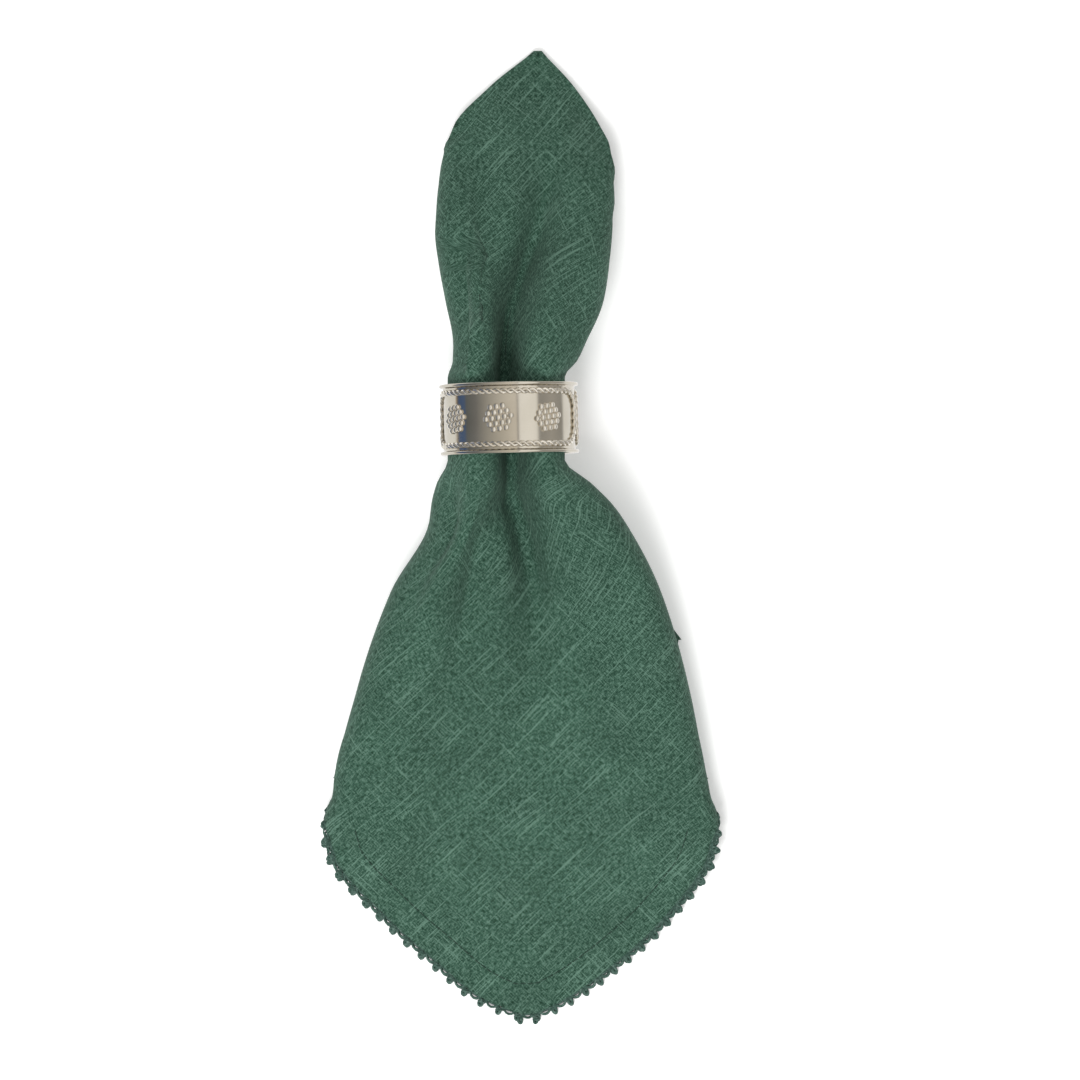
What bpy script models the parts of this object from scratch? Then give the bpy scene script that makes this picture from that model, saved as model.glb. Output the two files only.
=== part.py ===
"""A linen napkin folded in quarters and drawn through a metal napkin ring.

The napkin is one square sheet. It is folded twice into a square of four layers, turned so that its
closed corner (the napkin's centre) points along +Y, and pulled through the ring until its side corners
fold behind. Below the ring it fans out to its four hemmed corners. The ring's axis runs along Y.

Sizes are in millimetres, counted from the middle of the ring on the table, and are turned into metres
when a mesh is made. The origin is the middle of the underside of the whole object.
"""
import math
from collections import namedtuple

import bmesh
import bpy
import numpy as np
from mathutils import Vector

MM = 0.001
GAP = 0.3                     # space between pieces that touch

# Ring
RIM_RADIUS = 24.25            # outside of the two rims, which stand on the table
RIM_WIDTH = 1.2
BAND_RADIUS = 22.95
BAND_WALL = 0.75
BAND_LENGTH = 24.6
TRIM_RADIUS = 24.15           # top of the ropes and rosettes
ROPE_WIDTH = 2.1
ROPE_OFFSET = 9.1             # from the ring's middle to a straight run of rope
ROPE_SPAN = math.radians(84)  # half of the arc that one rope frame covers
ROPE_CORNER = 7.0
ROPE_CORNER_STEPS = 4
ROPE_RUN_STEPS = 14
ROSETTE_RADIUS = 5.1
ROSETTE_STEP = math.radians(45)
ROSETTE_SIDES = 16
RING_TURN = math.radians(9)   # the front frame's middle lies left of the top
AXIS_HEIGHT = RIM_RADIUS

# Napkin
CLOTH = 1.0                   # thickness of one layer
LAYER_PITCH = CLOTH + GAP
LAYER_OFFSETS = (1.5 * LAYER_PITCH, 0.5 * LAYER_PITCH, -0.5 * LAYER_PITCH, -1.5 * LAYER_PITCH)
PACK_HALF = LAYER_OFFSETS[0] + CLOTH / 2
FOLD_RADIUS = 10.0            # largest radius of a side fold
FLAP_LEVEL = {-1: PACK_HALF, 1: 3 * PACK_HALF + GAP}   # left flap lies lowest, right flap on it
VALLEY_STEPS = 5              # columns from the valley to a crest
TUCK_STEPS = 8                # columns of a tuck, counted from where the side fold starts
COLUMNS = 2 * (VALLEY_STEPS + 1 + TUCK_STEPS)

# Napkin in the ring
WALL_PATH = BAND_RADIUS - BAND_WALL - PACK_HALF - 2 * GAP
INNER_PATH = WALL_PATH - 2 * PACK_HALF - 4 * GAP
VALLEY_HALF_GAP = 3.6
VALLEY_LOW = -1.5             # valley's lowest point, from the ring's axis
CREST_ANGLE = math.radians(22)

# Lace
LACE_START = GAP + 0.05
LACE_REACH = 3.3
LACE_THICKNESS = 0.8
LACE_FIRST = 17               # row at the side corners, where the lace that shows begins
LACE_CORNER_STEP = 7          # columns of cloth per step of lace round the tip

Row = namedtuple("Row", "station left right crest_left crest_right crest valley valley_height "
                        "left_tuck right_tuck edge lift slant roll")
ROWS = [Row(*values) for values in (
    # A tuck is the cloth that runs past the front: round the side fold and on along the flap.
    # Lift raises the right flap. Slant is how steeply the flaps slope down the sheet.
    # station left  right  crests (x, x, z)      valley (x, z)  tucks       edge  lift slant  roll
    (128.5,   5.0,  15.0,    9.0,  11.0,   2.5,  10.0,   2.5,   0.0,  0.0,  2.5,  0.0, 0.00, 0.00),
    (118.0,  -5.7,  22.0,    2.0,  15.0,   4.2,   9.0,   4.1,   0.0,  0.0,  3.0,  0.0, 0.00, 0.00),
    (103.0, -18.8,  32.0,   -5.0,  20.0,   8.5,   8.0,   8.0,   0.0,  0.0,  6.0,  0.0, 0.00, 0.00),
    (96.0,  -22.4,  35.0,   -8.0,  22.0,  11.0,   8.0,  10.2,   7.0,  0.0,  9.0,  0.0, 0.00, 0.00),
    (87.0,  -24.6,  37.2,  -10.0,  24.0,  14.2,   8.0,  13.0,  23.0,  4.5, 13.5,  0.0, 0.00, 0.00),
    (76.0,  -25.4,  37.0,  -11.0,  22.5,  17.6,   7.0,  15.2,  38.0, 17.0,  0.0,  0.0, 0.00, 0.00),
    (66.0,  -25.9,  36.2,  -12.0,  21.0,  21.0,   6.0,  17.5,  53.0, 36.0,  0.0,  0.0, 0.00, 0.00),
    (42.0,  -22.5,  33.0,   -9.0,  16.0,  30.0,   3.0,  21.0,  67.0, 63.0,  0.0,  0.0, 0.00, 0.25),
    (26.0,  -19.8,  27.3,   -8.0,  12.0,  37.5,   0.5,  24.0,  59.0, 55.0,  0.0,  0.0, 0.00, 0.70),
    (14.5,  -21.9,  21.9,   -9.0,   9.0,  43.0,   0.0,  23.0,  59.0, 55.0,  0.0,  0.0, 0.00, 1.00),
    (-14.5, -21.9,  21.9,   -9.0,   9.0,  43.0,   0.0,  23.0,  59.0, 55.0,  0.0,  0.0, 0.00, 1.00),
    (-22.0, -26.0,  28.8,  -12.0,  14.0,  40.0,   1.0,  25.0,  69.0, 61.0,  0.0,  6.0, 0.15, 0.70),
    (-36.0, -29.2,  40.5,  -14.0,  20.0,  33.0,   3.0,  23.0, 107.0, 74.0,  0.0,  6.0, 0.55, 0.00),
    (-60.0, -41.5,  53.0,  -25.0,  31.0,  25.5,   8.0,  20.5,  96.0, 78.0,  0.0,  2.0, 0.45, 0.00),
    (-95.0, -53.7,  63.3,  -36.0,  45.0,  20.0,  10.0,  18.0,  65.0, 48.0,  0.0,  0.0, 0.40, 0.00),
    (-128., -62.0,  70.0,  -42.0,  52.0,  16.5,   8.0,  16.0,  29.0, 19.0,  0.0,  0.0, 0.35, 0.00),
    (-136., -64.3,  72.4,  -42.0,  54.0,  15.2,   6.0,  14.8,  12.0,  7.0, 14.8,  0.0, 0.00, 0.00),
    (-143., -63.5,  71.5,  -42.0,  52.0,  13.8,   6.0,  13.5,   4.0,  2.5, 13.0,  0.0, 0.00, 0.00),
    (-152., -58.0,  67.4,  -34.0,  46.0,  11.5,   6.0,  11.5,   0.0,  0.0,  9.0,  0.0, 0.00, 0.00),
    (-176., -38.2,  51.2,  -22.0,  32.0,   6.0,   6.0,   6.0,   0.0,  0.0,  4.0,  0.0, 0.00, 0.00),
    (-206.5,  1.5,  10.5,    3.0,   9.0,   2.5,   6.0,   2.5,   0.0,  0.0,  2.5,  0.0, 0.00, 0.00),
)]
LAST_JOINED = 12              # below this row the layers' edges are open hems

LINEN_GREEN = (0.055, 0.130, 0.092, 1.0)
LACE_GREEN = (0.045, 0.110, 0.082, 1.0)
NICKEL = (0.72, 0.67, 0.60, 1.0)


def clear_scene():
    for thing in list(bpy.data.objects):
        bpy.data.objects.remove(thing, do_unlink=True)


def make_material(name, colour, roughness, metallic):
    material = bpy.data.materials.new(name)
    material.use_nodes = True
    shader = material.node_tree.nodes["Principled BSDF"]
    shader.inputs["Base Color"].default_value = colour
    shader.inputs["Roughness"].default_value = roughness
    shader.inputs["Metallic"].default_value = metallic
    return material


def make_object(name, mesh, material, parent, smooth=False):
    mesh.materials.append(material)
    if smooth:
        mesh.shade_smooth()
        mesh.set_sharp_from_angle(angle=math.radians(40))
    thing = bpy.data.objects.new(name, mesh)
    bpy.context.scene.collection.objects.link(thing)
    thing.parent = parent
    return thing


def mesh_from(name, points, faces):
    mesh = bpy.data.meshes.new(name)
    mesh.from_pydata([tuple(MM * value for value in point) for point in points], [], faces)
    form = bmesh.new()
    form.from_mesh(mesh)
    bmesh.ops.recalc_face_normals(form, faces=form.faces)
    form.to_mesh(mesh)
    form.free()
    return mesh


# ---- The path of the folded pack in one cross-section -------------------------------------------

def ease(share):
    return 0.5 - 0.5 * math.cos(math.pi * share)


def on_circle(angle, radius):
    """Point at an angle from +X round the ring's axis."""
    return (radius * math.cos(angle), AXIS_HEIGHT + radius * math.sin(angle))


def free_valley(row, side):
    """From the valley's bottom up to one crest, where the cloth lies free."""
    crest = row.crest_right if side > 0 else row.crest_left
    points = []
    for step in range(VALLEY_STEPS):
        share = step / VALLEY_STEPS
        x = row.valley + (crest - row.valley) * share
        z = row.valley_height + (row.crest - row.valley_height) * ease(share)
        points.append((x, z))
    return points


def ring_valley(side):
    """The same stretch squeezed in the ring: a round bottom, a straight wall and a round lobe."""
    gap = VALLEY_HALF_GAP
    lobe = WALL_PATH * math.sin(CREST_ANGLE) - gap
    wall_top = WALL_PATH * math.cos(CREST_ANGLE) - lobe
    half = math.sqrt(0.5)
    outline = ((0.0, VALLEY_LOW),
               (gap * half, VALLEY_LOW + gap * (1 - half)),
               (gap, VALLEY_LOW + gap),
               (gap, wall_top),
               (gap + lobe * (1 - half), wall_top + lobe * half))
    return [(side * x, AXIS_HEIGHT + z) for x, z in outline]


def side_fold(row, side):
    """Radius of a side fold, and the height of its start above the flap's level."""
    level = FLAP_LEVEL[side] + (row.lift if side > 0 else 0.0)
    start = row.edge or min(row.crest, level + 2 * FOLD_RADIUS)
    return (start - level) / 2, start


def tuck_runs(row, side):
    """Distances of the columns along a tuck: the first half of them serve the fold."""
    tuck = row.right_tuck if side > 0 else row.left_tuck
    knee = min(tuck / 2, math.pi * side_fold(row, side)[0])
    return np.interp(np.arange(TUCK_STEPS + 1), (0, TUCK_STEPS / 2, TUCK_STEPS), (0.0, knee, tuck))


def free_side(row, side):
    """One crest, then the side fold from its start and back along the flap, or a plain edge."""
    crest = row.crest_right if side > 0 else row.crest_left
    edge = row.right if side > 0 else row.left
    radius, start_height = side_fold(row, side)
    runs = tuck_runs(row, side)
    if runs[-1] == 0.0:
        reach = edge if row.station < 0 else edge - side * PACK_HALF
        shares = [step / (TUCK_STEPS + 1) for step in range(TUCK_STEPS + 2)]
        return [(crest + (reach - crest) * share,
                 row.crest + (start_height - row.crest) * ease(share)) for share in shares]
    bulge = radius * math.sin(min(math.pi / 2, runs[-1] / radius))
    centre_x = edge - side * (PACK_HALF + bulge)
    points = [(crest, row.crest)]
    for run in runs:
        turn = min(math.pi, run / radius)
        beyond = run - radius * turn
        points.append((centre_x + side * (radius * math.sin(turn) - beyond),
                       start_height - radius * (1 - math.cos(turn))))
    return points


def ring_side(side):
    """The same stretch in the ring: down the wall, then round the bottom as a scroll.

    The left side follows the wall all the way. The right side moves inside it.
    """
    crest = math.pi / 2 - CREST_ANGLE
    if side < 0:
        stops = ((crest, WALL_PATH), (math.radians(45), WALL_PATH), (math.radians(-55), WALL_PATH),
                 (math.radians(-152), WALL_PATH))
    else:
        stops = ((crest, WALL_PATH), (math.radians(38), WALL_PATH), (math.radians(-26), INNER_PATH),
                 (math.radians(-172), INNER_PATH))
    points = []
    half = TUCK_STEPS // 2
    for (start, start_radius), (end, end_radius), steps in zip(stops, stops[1:], (1, half, half)):
        for step in range(steps):
            share = step / steps
            radius = start_radius + (end_radius - start_radius) * ease(share)
            x, z = on_circle(start + (end - start) * share, radius)
            points.append((side * x, z))
    x, z = on_circle(*stops[-1])
    points.append((side * x, z))
    return points


def half_path(row, side):
    free = np.array(free_valley(row, side) + free_side(row, side))
    held = np.array(ring_valley(side) + ring_side(side))
    return free * (1 - row.roll) + held * row.roll


def pack_path(row):
    """Middle line of the four layers, from the left flap's end to the right flap's end."""
    left = half_path(row, -1)
    right = half_path(row, 1)
    return np.vstack([left[:0:-1], right])


def mitred_normals(path):
    """Outward directions at each point of a path, lengthened so that offsets stay parallel."""
    steps = np.diff(path, axis=0)
    steps /= np.linalg.norm(steps, axis=1)[:, None]
    sides = np.column_stack([-steps[:, 1], steps[:, 0]])
    first = np.vstack([sides[:1], sides])
    second = np.vstack([sides, sides[-1:]])
    middle = first + second
    return 2 * middle / np.sum(middle * middle, axis=1)[:, None]


def slide_of(row):
    """How far each column slides down the sheet: flaps folded back on a slanting fold slope down."""
    slides = np.zeros(COLUMNS + 1)
    for side in (-1, 1):
        beyond = np.maximum(tuck_runs(row, side) - math.pi * side_fold(row, side)[0], 0.0)
        if side > 0:
            slides[-len(beyond):] = -row.slant * beyond
        else:
            slides[:len(beyond)] = -row.slant * beyond[::-1]
    return slides


# ---- The napkin -----------------------------------------------------------------------------------

FACE_UP = (1, -1, 1, -1)      # which way the napkin's right side faces in each layer
TURNS = {"left_outer": (0, 1, 0, 3, 4, 1), "left_inner": (0, 1, 1, 2, 2, -1),
         "right_upper": (-1, -2, 0, 1, 2, 1), "right_lower": (-1, -2, 2, 3, 2, 1)}


class Sheet:
    """One side of the napkin, at a height above its middle surface: points, and their numbers."""

    def __init__(self, height):
        self.height = height
        self.points = []
        self.layers = []      # [row][layer][column] -> point number
        self.turns = []       # [row] -> point numbers round the folds at the row's two ends
        for number, row in enumerate(ROWS):
            self.add_row(number, row)

    def add(self, x, y, z):
        self.points.append((x, y, z))
        return len(self.points) - 1

    def add_row(self, number, row):
        path = pack_path(row)
        normals = mitred_normals(path)
        slides = slide_of(row)
        station = row.station + (self.height if number == 0 else 0.0)
        layers = []
        for offset, facing in zip(LAYER_OFFSETS, FACE_UP):
            spots = path + normals * (offset + facing * self.height)
            layers.append([self.add(x, station + slide, z) for (x, z), slide in zip(spots, slides)])
        self.layers.append(layers)
        if number > LAST_JOINED:
            self.turns.append(None)
            return
        self.turns.append({name: self.turn(path, normals, station + slides[spec[0]], *spec)
                           for name, spec in TURNS.items()})

    def turn(self, path, normals, station, end, inward, upper, lower, steps, facing):
        """Points round a folded edge that joins two layers."""
        along = path[end] - path[inward]
        along /= np.linalg.norm(along)
        middle = (LAYER_OFFSETS[upper] + LAYER_OFFSETS[lower]) / 2
        radius = (LAYER_OFFSETS[upper] - LAYER_OFFSETS[lower]) / 2 + facing * self.height
        centre = path[end] + normals[end] * middle
        numbers = []
        for step in range(1, steps):
            angle = math.pi * step / steps
            x, z = centre + radius * (along * math.sin(angle) + normals[end] * math.cos(angle))
            numbers.append(self.add(x, station, z))
        return numbers

    def folded_edge(self, number, name):
        """The points round one folded edge of a joined row, with the layer ends that it joins."""
        end, _, upper, lower, _, _ = TURNS[name]
        layers = self.layers[number]
        return [layers[upper][end]] + self.turns[number][name] + [layers[lower][end]]


def bridge(upper, lower):
    """Triangles between two lines of points, cut the same way in every layer."""
    faces = []
    for spot in range(len(upper) - 1):
        faces.append((upper[spot], lower[spot], lower[spot + 1]))
        faces.append((upper[spot], lower[spot + 1], upper[spot + 1]))
    return faces


def apex_faces(sheet):
    """Close the first row: a ladder over layers one and two, a spine, and one over three and four."""
    first, second, third, fourth = sheet.layers[0]
    turns = sheet.turns[0]
    faces = []
    for upper, lower, tip in ((first, second, turns["right_upper"][0]),
                              (third, fourth, turns["right_lower"][0])):
        for column in range(COLUMNS):
            faces.append((upper[column], upper[column + 1], lower[column + 1], lower[column]))
        faces.append((upper[COLUMNS], tip, lower[COLUMNS]))
    outer = [first[0]] + turns["left_outer"] + [fourth[0]]
    inner = turns["left_inner"][0]
    faces.append((outer[0], second[0], inner, outer[1]))
    faces.append((outer[1], inner, outer[2]))
    faces.append((outer[2], inner, outer[3]))
    faces.append((outer[3], inner, third[0], outer[4]))
    return faces


def sheet_faces(sheet):
    faces = apex_faces(sheet)
    for number in range(len(ROWS) - 1):
        for upper, lower in zip(sheet.layers[number], sheet.layers[number + 1]):
            faces += bridge(upper, lower)
        if number < LAST_JOINED:
            for name in TURNS:
                faces += bridge(sheet.folded_edge(number, name), sheet.folded_edge(number + 1, name))
    return faces


def hem_loop(sheet):
    """The points of the open edge as one loop through all the layers."""
    last = len(ROWS) - 1
    loop = []

    def side(layer, end, upward):
        numbers = [sheet.layers[number][layer][end] for number in range(LAST_JOINED, last)]
        return numbers[::-1] if upward else numbers

    for layer, start, name in ((0, 0, "right_upper"), (1, -1, "left_inner"),
                               (2, 0, "right_lower"), (3, -1, "left_outer")):
        corner = sheet.layers[last][layer]
        fold = sheet.turns[LAST_JOINED][name]
        loop += side(layer, start, upward=False)
        loop += corner if start == 0 else corner[::-1]
        loop += side(layer, -1 if start == 0 else 0, upward=True)
        loop += fold[::-1] if name == "left_outer" else fold
    return loop


def make_napkin(material, parent):
    """Join the napkin's two sides along its open edge."""
    right_side, wrong_side = Sheet(CLOTH / 2), Sheet(-CLOTH / 2)
    count = len(right_side.points)
    faces = sheet_faces(right_side)
    faces += [tuple(number + count for number in face) for face in faces]
    edge = hem_loop(right_side)
    faces += [(here + count, after + count, after, here) for here, after in zip(edge, edge[1:] + edge[:1])]
    mesh = mesh_from("napkin", right_side.points + wrong_side.points, faces)
    return make_object("napkin", mesh, material, parent)


# ---- Lace along the open edge ----------------------------------------------------------------------

def lace_line(sheet, layer):
    """One layer's edge from a side corner round the tip to the other: (point, its inner neighbour)."""
    last = len(ROWS) - 1
    sides = range(LACE_FIRST, last)
    rows = sheet.layers
    left = [(rows[number][layer][0], rows[number][layer][1]) for number in sides]
    tip = [(rows[last][layer][column], rows[last - 1][layer][column])
           for column in range(0, COLUMNS + 1, LACE_CORNER_STEP)]
    right = [(rows[number][layer][-1], rows[number][layer][-2]) for number in reversed(sides)]
    return left + tip + right


def lace_directions(points, line):
    """Unit directions away from the cloth, level and square to the edge."""
    spots = np.array([points[number] for number, _ in line])
    inner = np.array([points[number] for _, number in line])
    along = np.gradient(spots, axis=0)
    along[:, 2] = 0.0
    along /= np.linalg.norm(along, axis=1)[:, None]
    outward = spots - inner
    outward[:, 2] = 0.0
    outward -= along * np.sum(outward * along, axis=1)[:, None]
    return outward / np.linalg.norm(outward, axis=1)[:, None]


def make_lace(material, parent):
    """A flat strip along each layer's edge, with four corners at each point of the edge."""
    middle, upper, lower = Sheet(0.0), Sheet(LACE_THICKNESS / 2), Sheet(-LACE_THICKNESS / 2)
    for layer in range(len(LAYER_OFFSETS)):
        line = lace_line(middle, layer)
        points = []
        for (number, _), outward in zip(line, lace_directions(np.array(middle.points), line)):
            for face, reach in ((upper, LACE_START), (upper, LACE_REACH),
                                (lower, LACE_REACH), (lower, LACE_START)):
                points.append(np.array(face.points[number]) + outward * reach)
        name = f"lace_edging_{layer + 1}"
        make_object(name, mesh_from(name, points, strip_faces(len(line), 4)), material, parent)


def strip_faces(segments, width):
    """Triangles of a closed strip with a section of so many points at each segment."""
    last = (segments - 1) * width
    faces = [(0, 1, 2), (0, 2, 3), (last, last + 2, last + 1), (last, last + 3, last + 2)]
    for here, beside, far_beside, far in ring_faces(segments, width)[:last]:
        faces += [(here, beside, far_beside), (here, far_beside, far)]
    return faces


# ---- Ring ------------------------------------------------------------------------------------------

def wrapped(arc, along, radius):
    """Point on the ring: arc in millimetres round the band from its top, rightwards."""
    angle = arc / BAND_RADIUS
    return (radius * math.sin(angle), along, AXIS_HEIGHT + radius * math.cos(angle))


def closed_tube(name, section, segments, material, parent):
    """Turn a closed section of (radius, along) points round the ring's axis."""
    points = []
    for segment in range(segments):
        angle = 2 * math.pi * segment / segments
        for radius, along in section:
            points.append((radius * math.sin(angle), along, AXIS_HEIGHT + radius * math.cos(angle)))
    faces = ring_faces(segments, len(section))
    return make_object(name, mesh_from(name, points, faces), material, parent, smooth=True)


def ring_faces(segments, width):
    faces = []
    for segment in range(segments):
        following = (segment + 1) % segments
        for spot in range(width):
            beside = (spot + 1) % width
            faces.append((segment * width + spot, segment * width + beside,
                          following * width + beside, following * width + spot))
    return faces


def make_band(material, parent):
    half = BAND_LENGTH / 2
    inner = BAND_RADIUS - BAND_WALL
    section = ((BAND_RADIUS, -half), (BAND_RADIUS, half), (inner, half), (inner, -half))
    return closed_tube("ring_band", section, 72, material, parent)


def make_rim(name, side, material, parent):
    half = BAND_LENGTH / 2
    inner = BAND_RADIUS + GAP
    low, high = sorted((side * half, side * (half - RIM_WIDTH)))
    section = ((RIM_RADIUS, low), (RIM_RADIUS, high), (inner, high), (inner, low))
    return closed_tube(name, section, 72, material, parent)


def frame_route(middle):
    """The middle line of one rope frame: a rectangle with round corners, laid round the band."""
    straight = ROPE_SPAN * BAND_RADIUS - ROPE_CORNER
    rise = ROPE_OFFSET - ROPE_CORNER

    def corner(side_x, side_y, start):
        turns = [start - math.pi / 2 * step / ROPE_CORNER_STEPS for step in range(ROPE_CORNER_STEPS + 1)]
        return [(middle + side_x * straight + ROPE_CORNER * math.cos(turn),
                 side_y * rise + ROPE_CORNER * math.sin(turn)) for turn in turns]

    def run(heading):
        shares = [2 * step / ROPE_RUN_STEPS - 1 for step in range(1, ROPE_RUN_STEPS)]
        return [(middle + heading * straight * share, heading * ROPE_OFFSET) for share in shares]

    return (corner(1, 1, math.pi / 2) + corner(1, -1, 0.0) + run(-1)
            + corner(-1, -1, -math.pi / 2) + corner(-1, 1, math.pi) + run(1))


def make_rope(name, middle, material, parent):
    route = [Vector(spot) for spot in frame_route(middle)]
    count = len(route)
    low, high = BAND_RADIUS + GAP, TRIM_RADIUS
    points = []
    for spot, here in enumerate(route):
        ahead = (route[(spot + 1) % count] - here).normalized()
        behind = (here - route[spot - 1]).normalized()
        out = Vector((-(ahead + behind).y, (ahead + behind).x)).normalized()
        out *= ROPE_WIDTH / 2 / max(0.5, math.cos(ahead.angle(behind) / 2))
        for side, radius in ((-1, low), (-1, high), (1, high), (1, low)):
            points.append(wrapped(here.x + side * out.x, here.y + side * out.y, radius))
    mesh = mesh_from(name, points, ring_faces(count, 4))
    return make_object(name, mesh, material, parent, smooth=True)


def make_rosette(name, angle, material, parent):
    """A low round boss that follows the band."""
    middle = angle * BAND_RADIUS
    points = [wrapped(middle, 0.0, BAND_RADIUS + GAP), wrapped(middle, 0.0, TRIM_RADIUS)]
    for radius in (BAND_RADIUS + GAP, TRIM_RADIUS):
        for step in range(ROSETTE_SIDES):
            turn = 2 * math.pi * step / ROSETTE_SIDES
            points.append(wrapped(middle + ROSETTE_RADIUS * math.cos(turn),
                                  ROSETTE_RADIUS * math.sin(turn), radius))
    faces = []
    for step in range(ROSETTE_SIDES):
        low, low_next = 2 + step, 2 + (step + 1) % ROSETTE_SIDES
        high, high_next = low + ROSETTE_SIDES, low_next + ROSETTE_SIDES
        faces += [(0, low_next, low), (1, high, high_next), (low, low_next, high_next, high)]
    return make_object(name, mesh_from(name, points, faces), material, parent, smooth=True)


def make_ring(material, parent):
    make_band(material, parent)
    make_rim("ring_rim_upper", 1, material, parent)
    make_rim("ring_rim_lower", -1, material, parent)
    frames = (("front", -RING_TURN), ("back", math.pi - RING_TURN))
    number = 0
    for name, angle in frames:
        make_rope("ring_rope_" + name, angle * BAND_RADIUS, material, parent)
        for step in (-1, 0, 1):
            number += 1
            make_rosette(f"ring_rosette_{number}", angle + step * ROSETTE_STEP, material, parent)


# ---- The whole object ------------------------------------------------------------------------------

def ground_under(things, base):
    """Move the base so that the middle of the underside of everything lies at the origin."""
    bpy.context.view_layer.update()
    graph = bpy.context.evaluated_depsgraph_get()
    corners = []
    for thing in things:
        mesh = thing.evaluated_get(graph).to_mesh()
        spots = np.empty(3 * len(mesh.vertices), dtype=np.float32)
        mesh.vertices.foreach_get("co", spots)
        spots = spots.reshape(-1, 3)
        corners += [spots.min(axis=0), spots.max(axis=0)]
    low, high = np.min(corners, axis=0), np.max(corners, axis=0)
    base.location = (-(low[0] + high[0]) / 2, -(low[1] + high[1]) / 2, -low[2])
    print("base", [round(float(value) / MM, 2) for value in base.location],
          "size", [round(float(value) / MM, 2) for value in high - low])


def main():
    clear_scene()
    base = bpy.data.objects.new("base", None)
    bpy.context.scene.collection.objects.link(base)
    linen = make_material("napkin_linen", LINEN_GREEN, 0.9, 0.0)
    thread = make_material("lace_thread", LACE_GREEN, 0.85, 0.0)
    metal = make_material("ring_metal", NICKEL, 0.2, 1.0)
    make_napkin(linen, base)
    make_lace(thread, base)
    make_ring(metal, base)
    ground_under([thing for thing in bpy.data.objects if thing.type == "MESH"], base)


main()
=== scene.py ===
# %% [markdown]
# # A linen napkin in a napkin ring
# A square linen napkin with a crocheted edging is folded in quarters, turned on its corner and drawn
# through a metal ring with rope and bead trim. Each step has a note and a short code cell.
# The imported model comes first. It fixes every place and size, and nothing here changes it.

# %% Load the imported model
import math
from collections import namedtuple

import bmesh
import bpy
import numpy as np
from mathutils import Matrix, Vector


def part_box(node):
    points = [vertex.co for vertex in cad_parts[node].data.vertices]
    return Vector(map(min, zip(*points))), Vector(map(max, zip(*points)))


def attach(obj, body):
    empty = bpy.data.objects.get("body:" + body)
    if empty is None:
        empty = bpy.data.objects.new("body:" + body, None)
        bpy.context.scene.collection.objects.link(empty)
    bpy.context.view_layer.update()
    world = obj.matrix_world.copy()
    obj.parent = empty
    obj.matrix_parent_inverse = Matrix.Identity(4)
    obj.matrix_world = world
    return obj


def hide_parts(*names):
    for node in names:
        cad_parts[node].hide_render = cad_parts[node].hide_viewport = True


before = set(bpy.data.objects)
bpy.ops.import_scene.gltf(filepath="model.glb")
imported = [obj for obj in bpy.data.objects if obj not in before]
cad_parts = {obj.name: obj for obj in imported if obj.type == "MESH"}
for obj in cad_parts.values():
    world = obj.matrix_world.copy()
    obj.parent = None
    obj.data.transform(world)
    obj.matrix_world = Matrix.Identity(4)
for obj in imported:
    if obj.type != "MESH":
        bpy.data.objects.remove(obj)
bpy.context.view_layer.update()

MM = 0.001
RIM_RADIUS = 24.25
band_low, band_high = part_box("ring_band")
RING_MIDDLE = ((band_low[0] + band_high[0]) / 2 / MM, (band_low[1] + band_high[1]) / 2 / MM)
print("Ring's middle, mm:", [round(value, 2) for value in RING_MIDDLE])


def placed(points):
    """From millimetres counted from the ring's middle on the table to metres in the frame."""
    points = np.asarray(points, dtype=float)
    return MM * (points + (RING_MIDDLE[0], RING_MIDDLE[1], 0.0))


# %% [markdown]
# ## Camera and plain studio
# The object lies on a pale table and is seen from straight above, through a long lens, so that its tall
# ring doesn't lean. Two soft lamps hang a little to the left. A polished ring shows what is round
# it, and a white room would make it look like plastic. So the world gives light evenly to cloth and
# table, and shows mirrors something else: a room of soft bands, light overhead and dark to the sides.

# %% Camera
bpy.context.scene.view_settings.view_transform = "Standard"
CAMERA_HEIGHT = 1.5
VIEW_WIDTH = 0.378
camera_data = bpy.data.cameras.new("camera")
camera_data.lens = camera_data.sensor_width * (CAMERA_HEIGHT - 0.02) / VIEW_WIDTH
camera = bpy.data.objects.new("camera", camera_data)
camera.location = (*placed([(10.75, -42.2, 0.0)])[0][:2], CAMERA_HEIGHT)
bpy.context.scene.collection.objects.link(camera)
bpy.context.scene.camera = camera
print("Lens, mm:", round(camera_data.lens, 1))


# %% Node helpers
def add_node(tree, kind, **settings):
    """A node with its properties set, and its inputs where a name matches one."""
    node = tree.nodes.new(kind)
    for name, value in settings.items():
        if hasattr(node, name):
            setattr(node, name, value)
        else:
            node.inputs[name.replace("_", " ")].default_value = value
    return node


def link(tree, *sockets):
    """Link sockets in pairs: from, to, from, to."""
    for source, target in zip(sockets[::2], sockets[1::2]):
        tree.links.new(source, target)


def calculate(tree, operation, first, second=None, third=None):
    """A Math node on sockets or numbers. Returns its result."""
    node = tree.nodes.new("ShaderNodeMath")
    node.operation = operation
    for socket, value in zip(node.inputs, (first, second, third)):
        if isinstance(value, bpy.types.NodeSocket):
            tree.links.new(value, socket)
        elif value is not None:
            socket.default_value = value
    return node.outputs[0]


def new_material(name, **inputs):
    """A material, its tree and its main shader, with the shader's inputs set by name."""
    material = bpy.data.materials.new(name)
    material.use_nodes = True
    shader = material.node_tree.nodes["Principled BSDF"]
    for label, value in inputs.items():
        shader.inputs[label.replace("_", " ")].default_value = value
    return material, material.node_tree, shader


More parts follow.
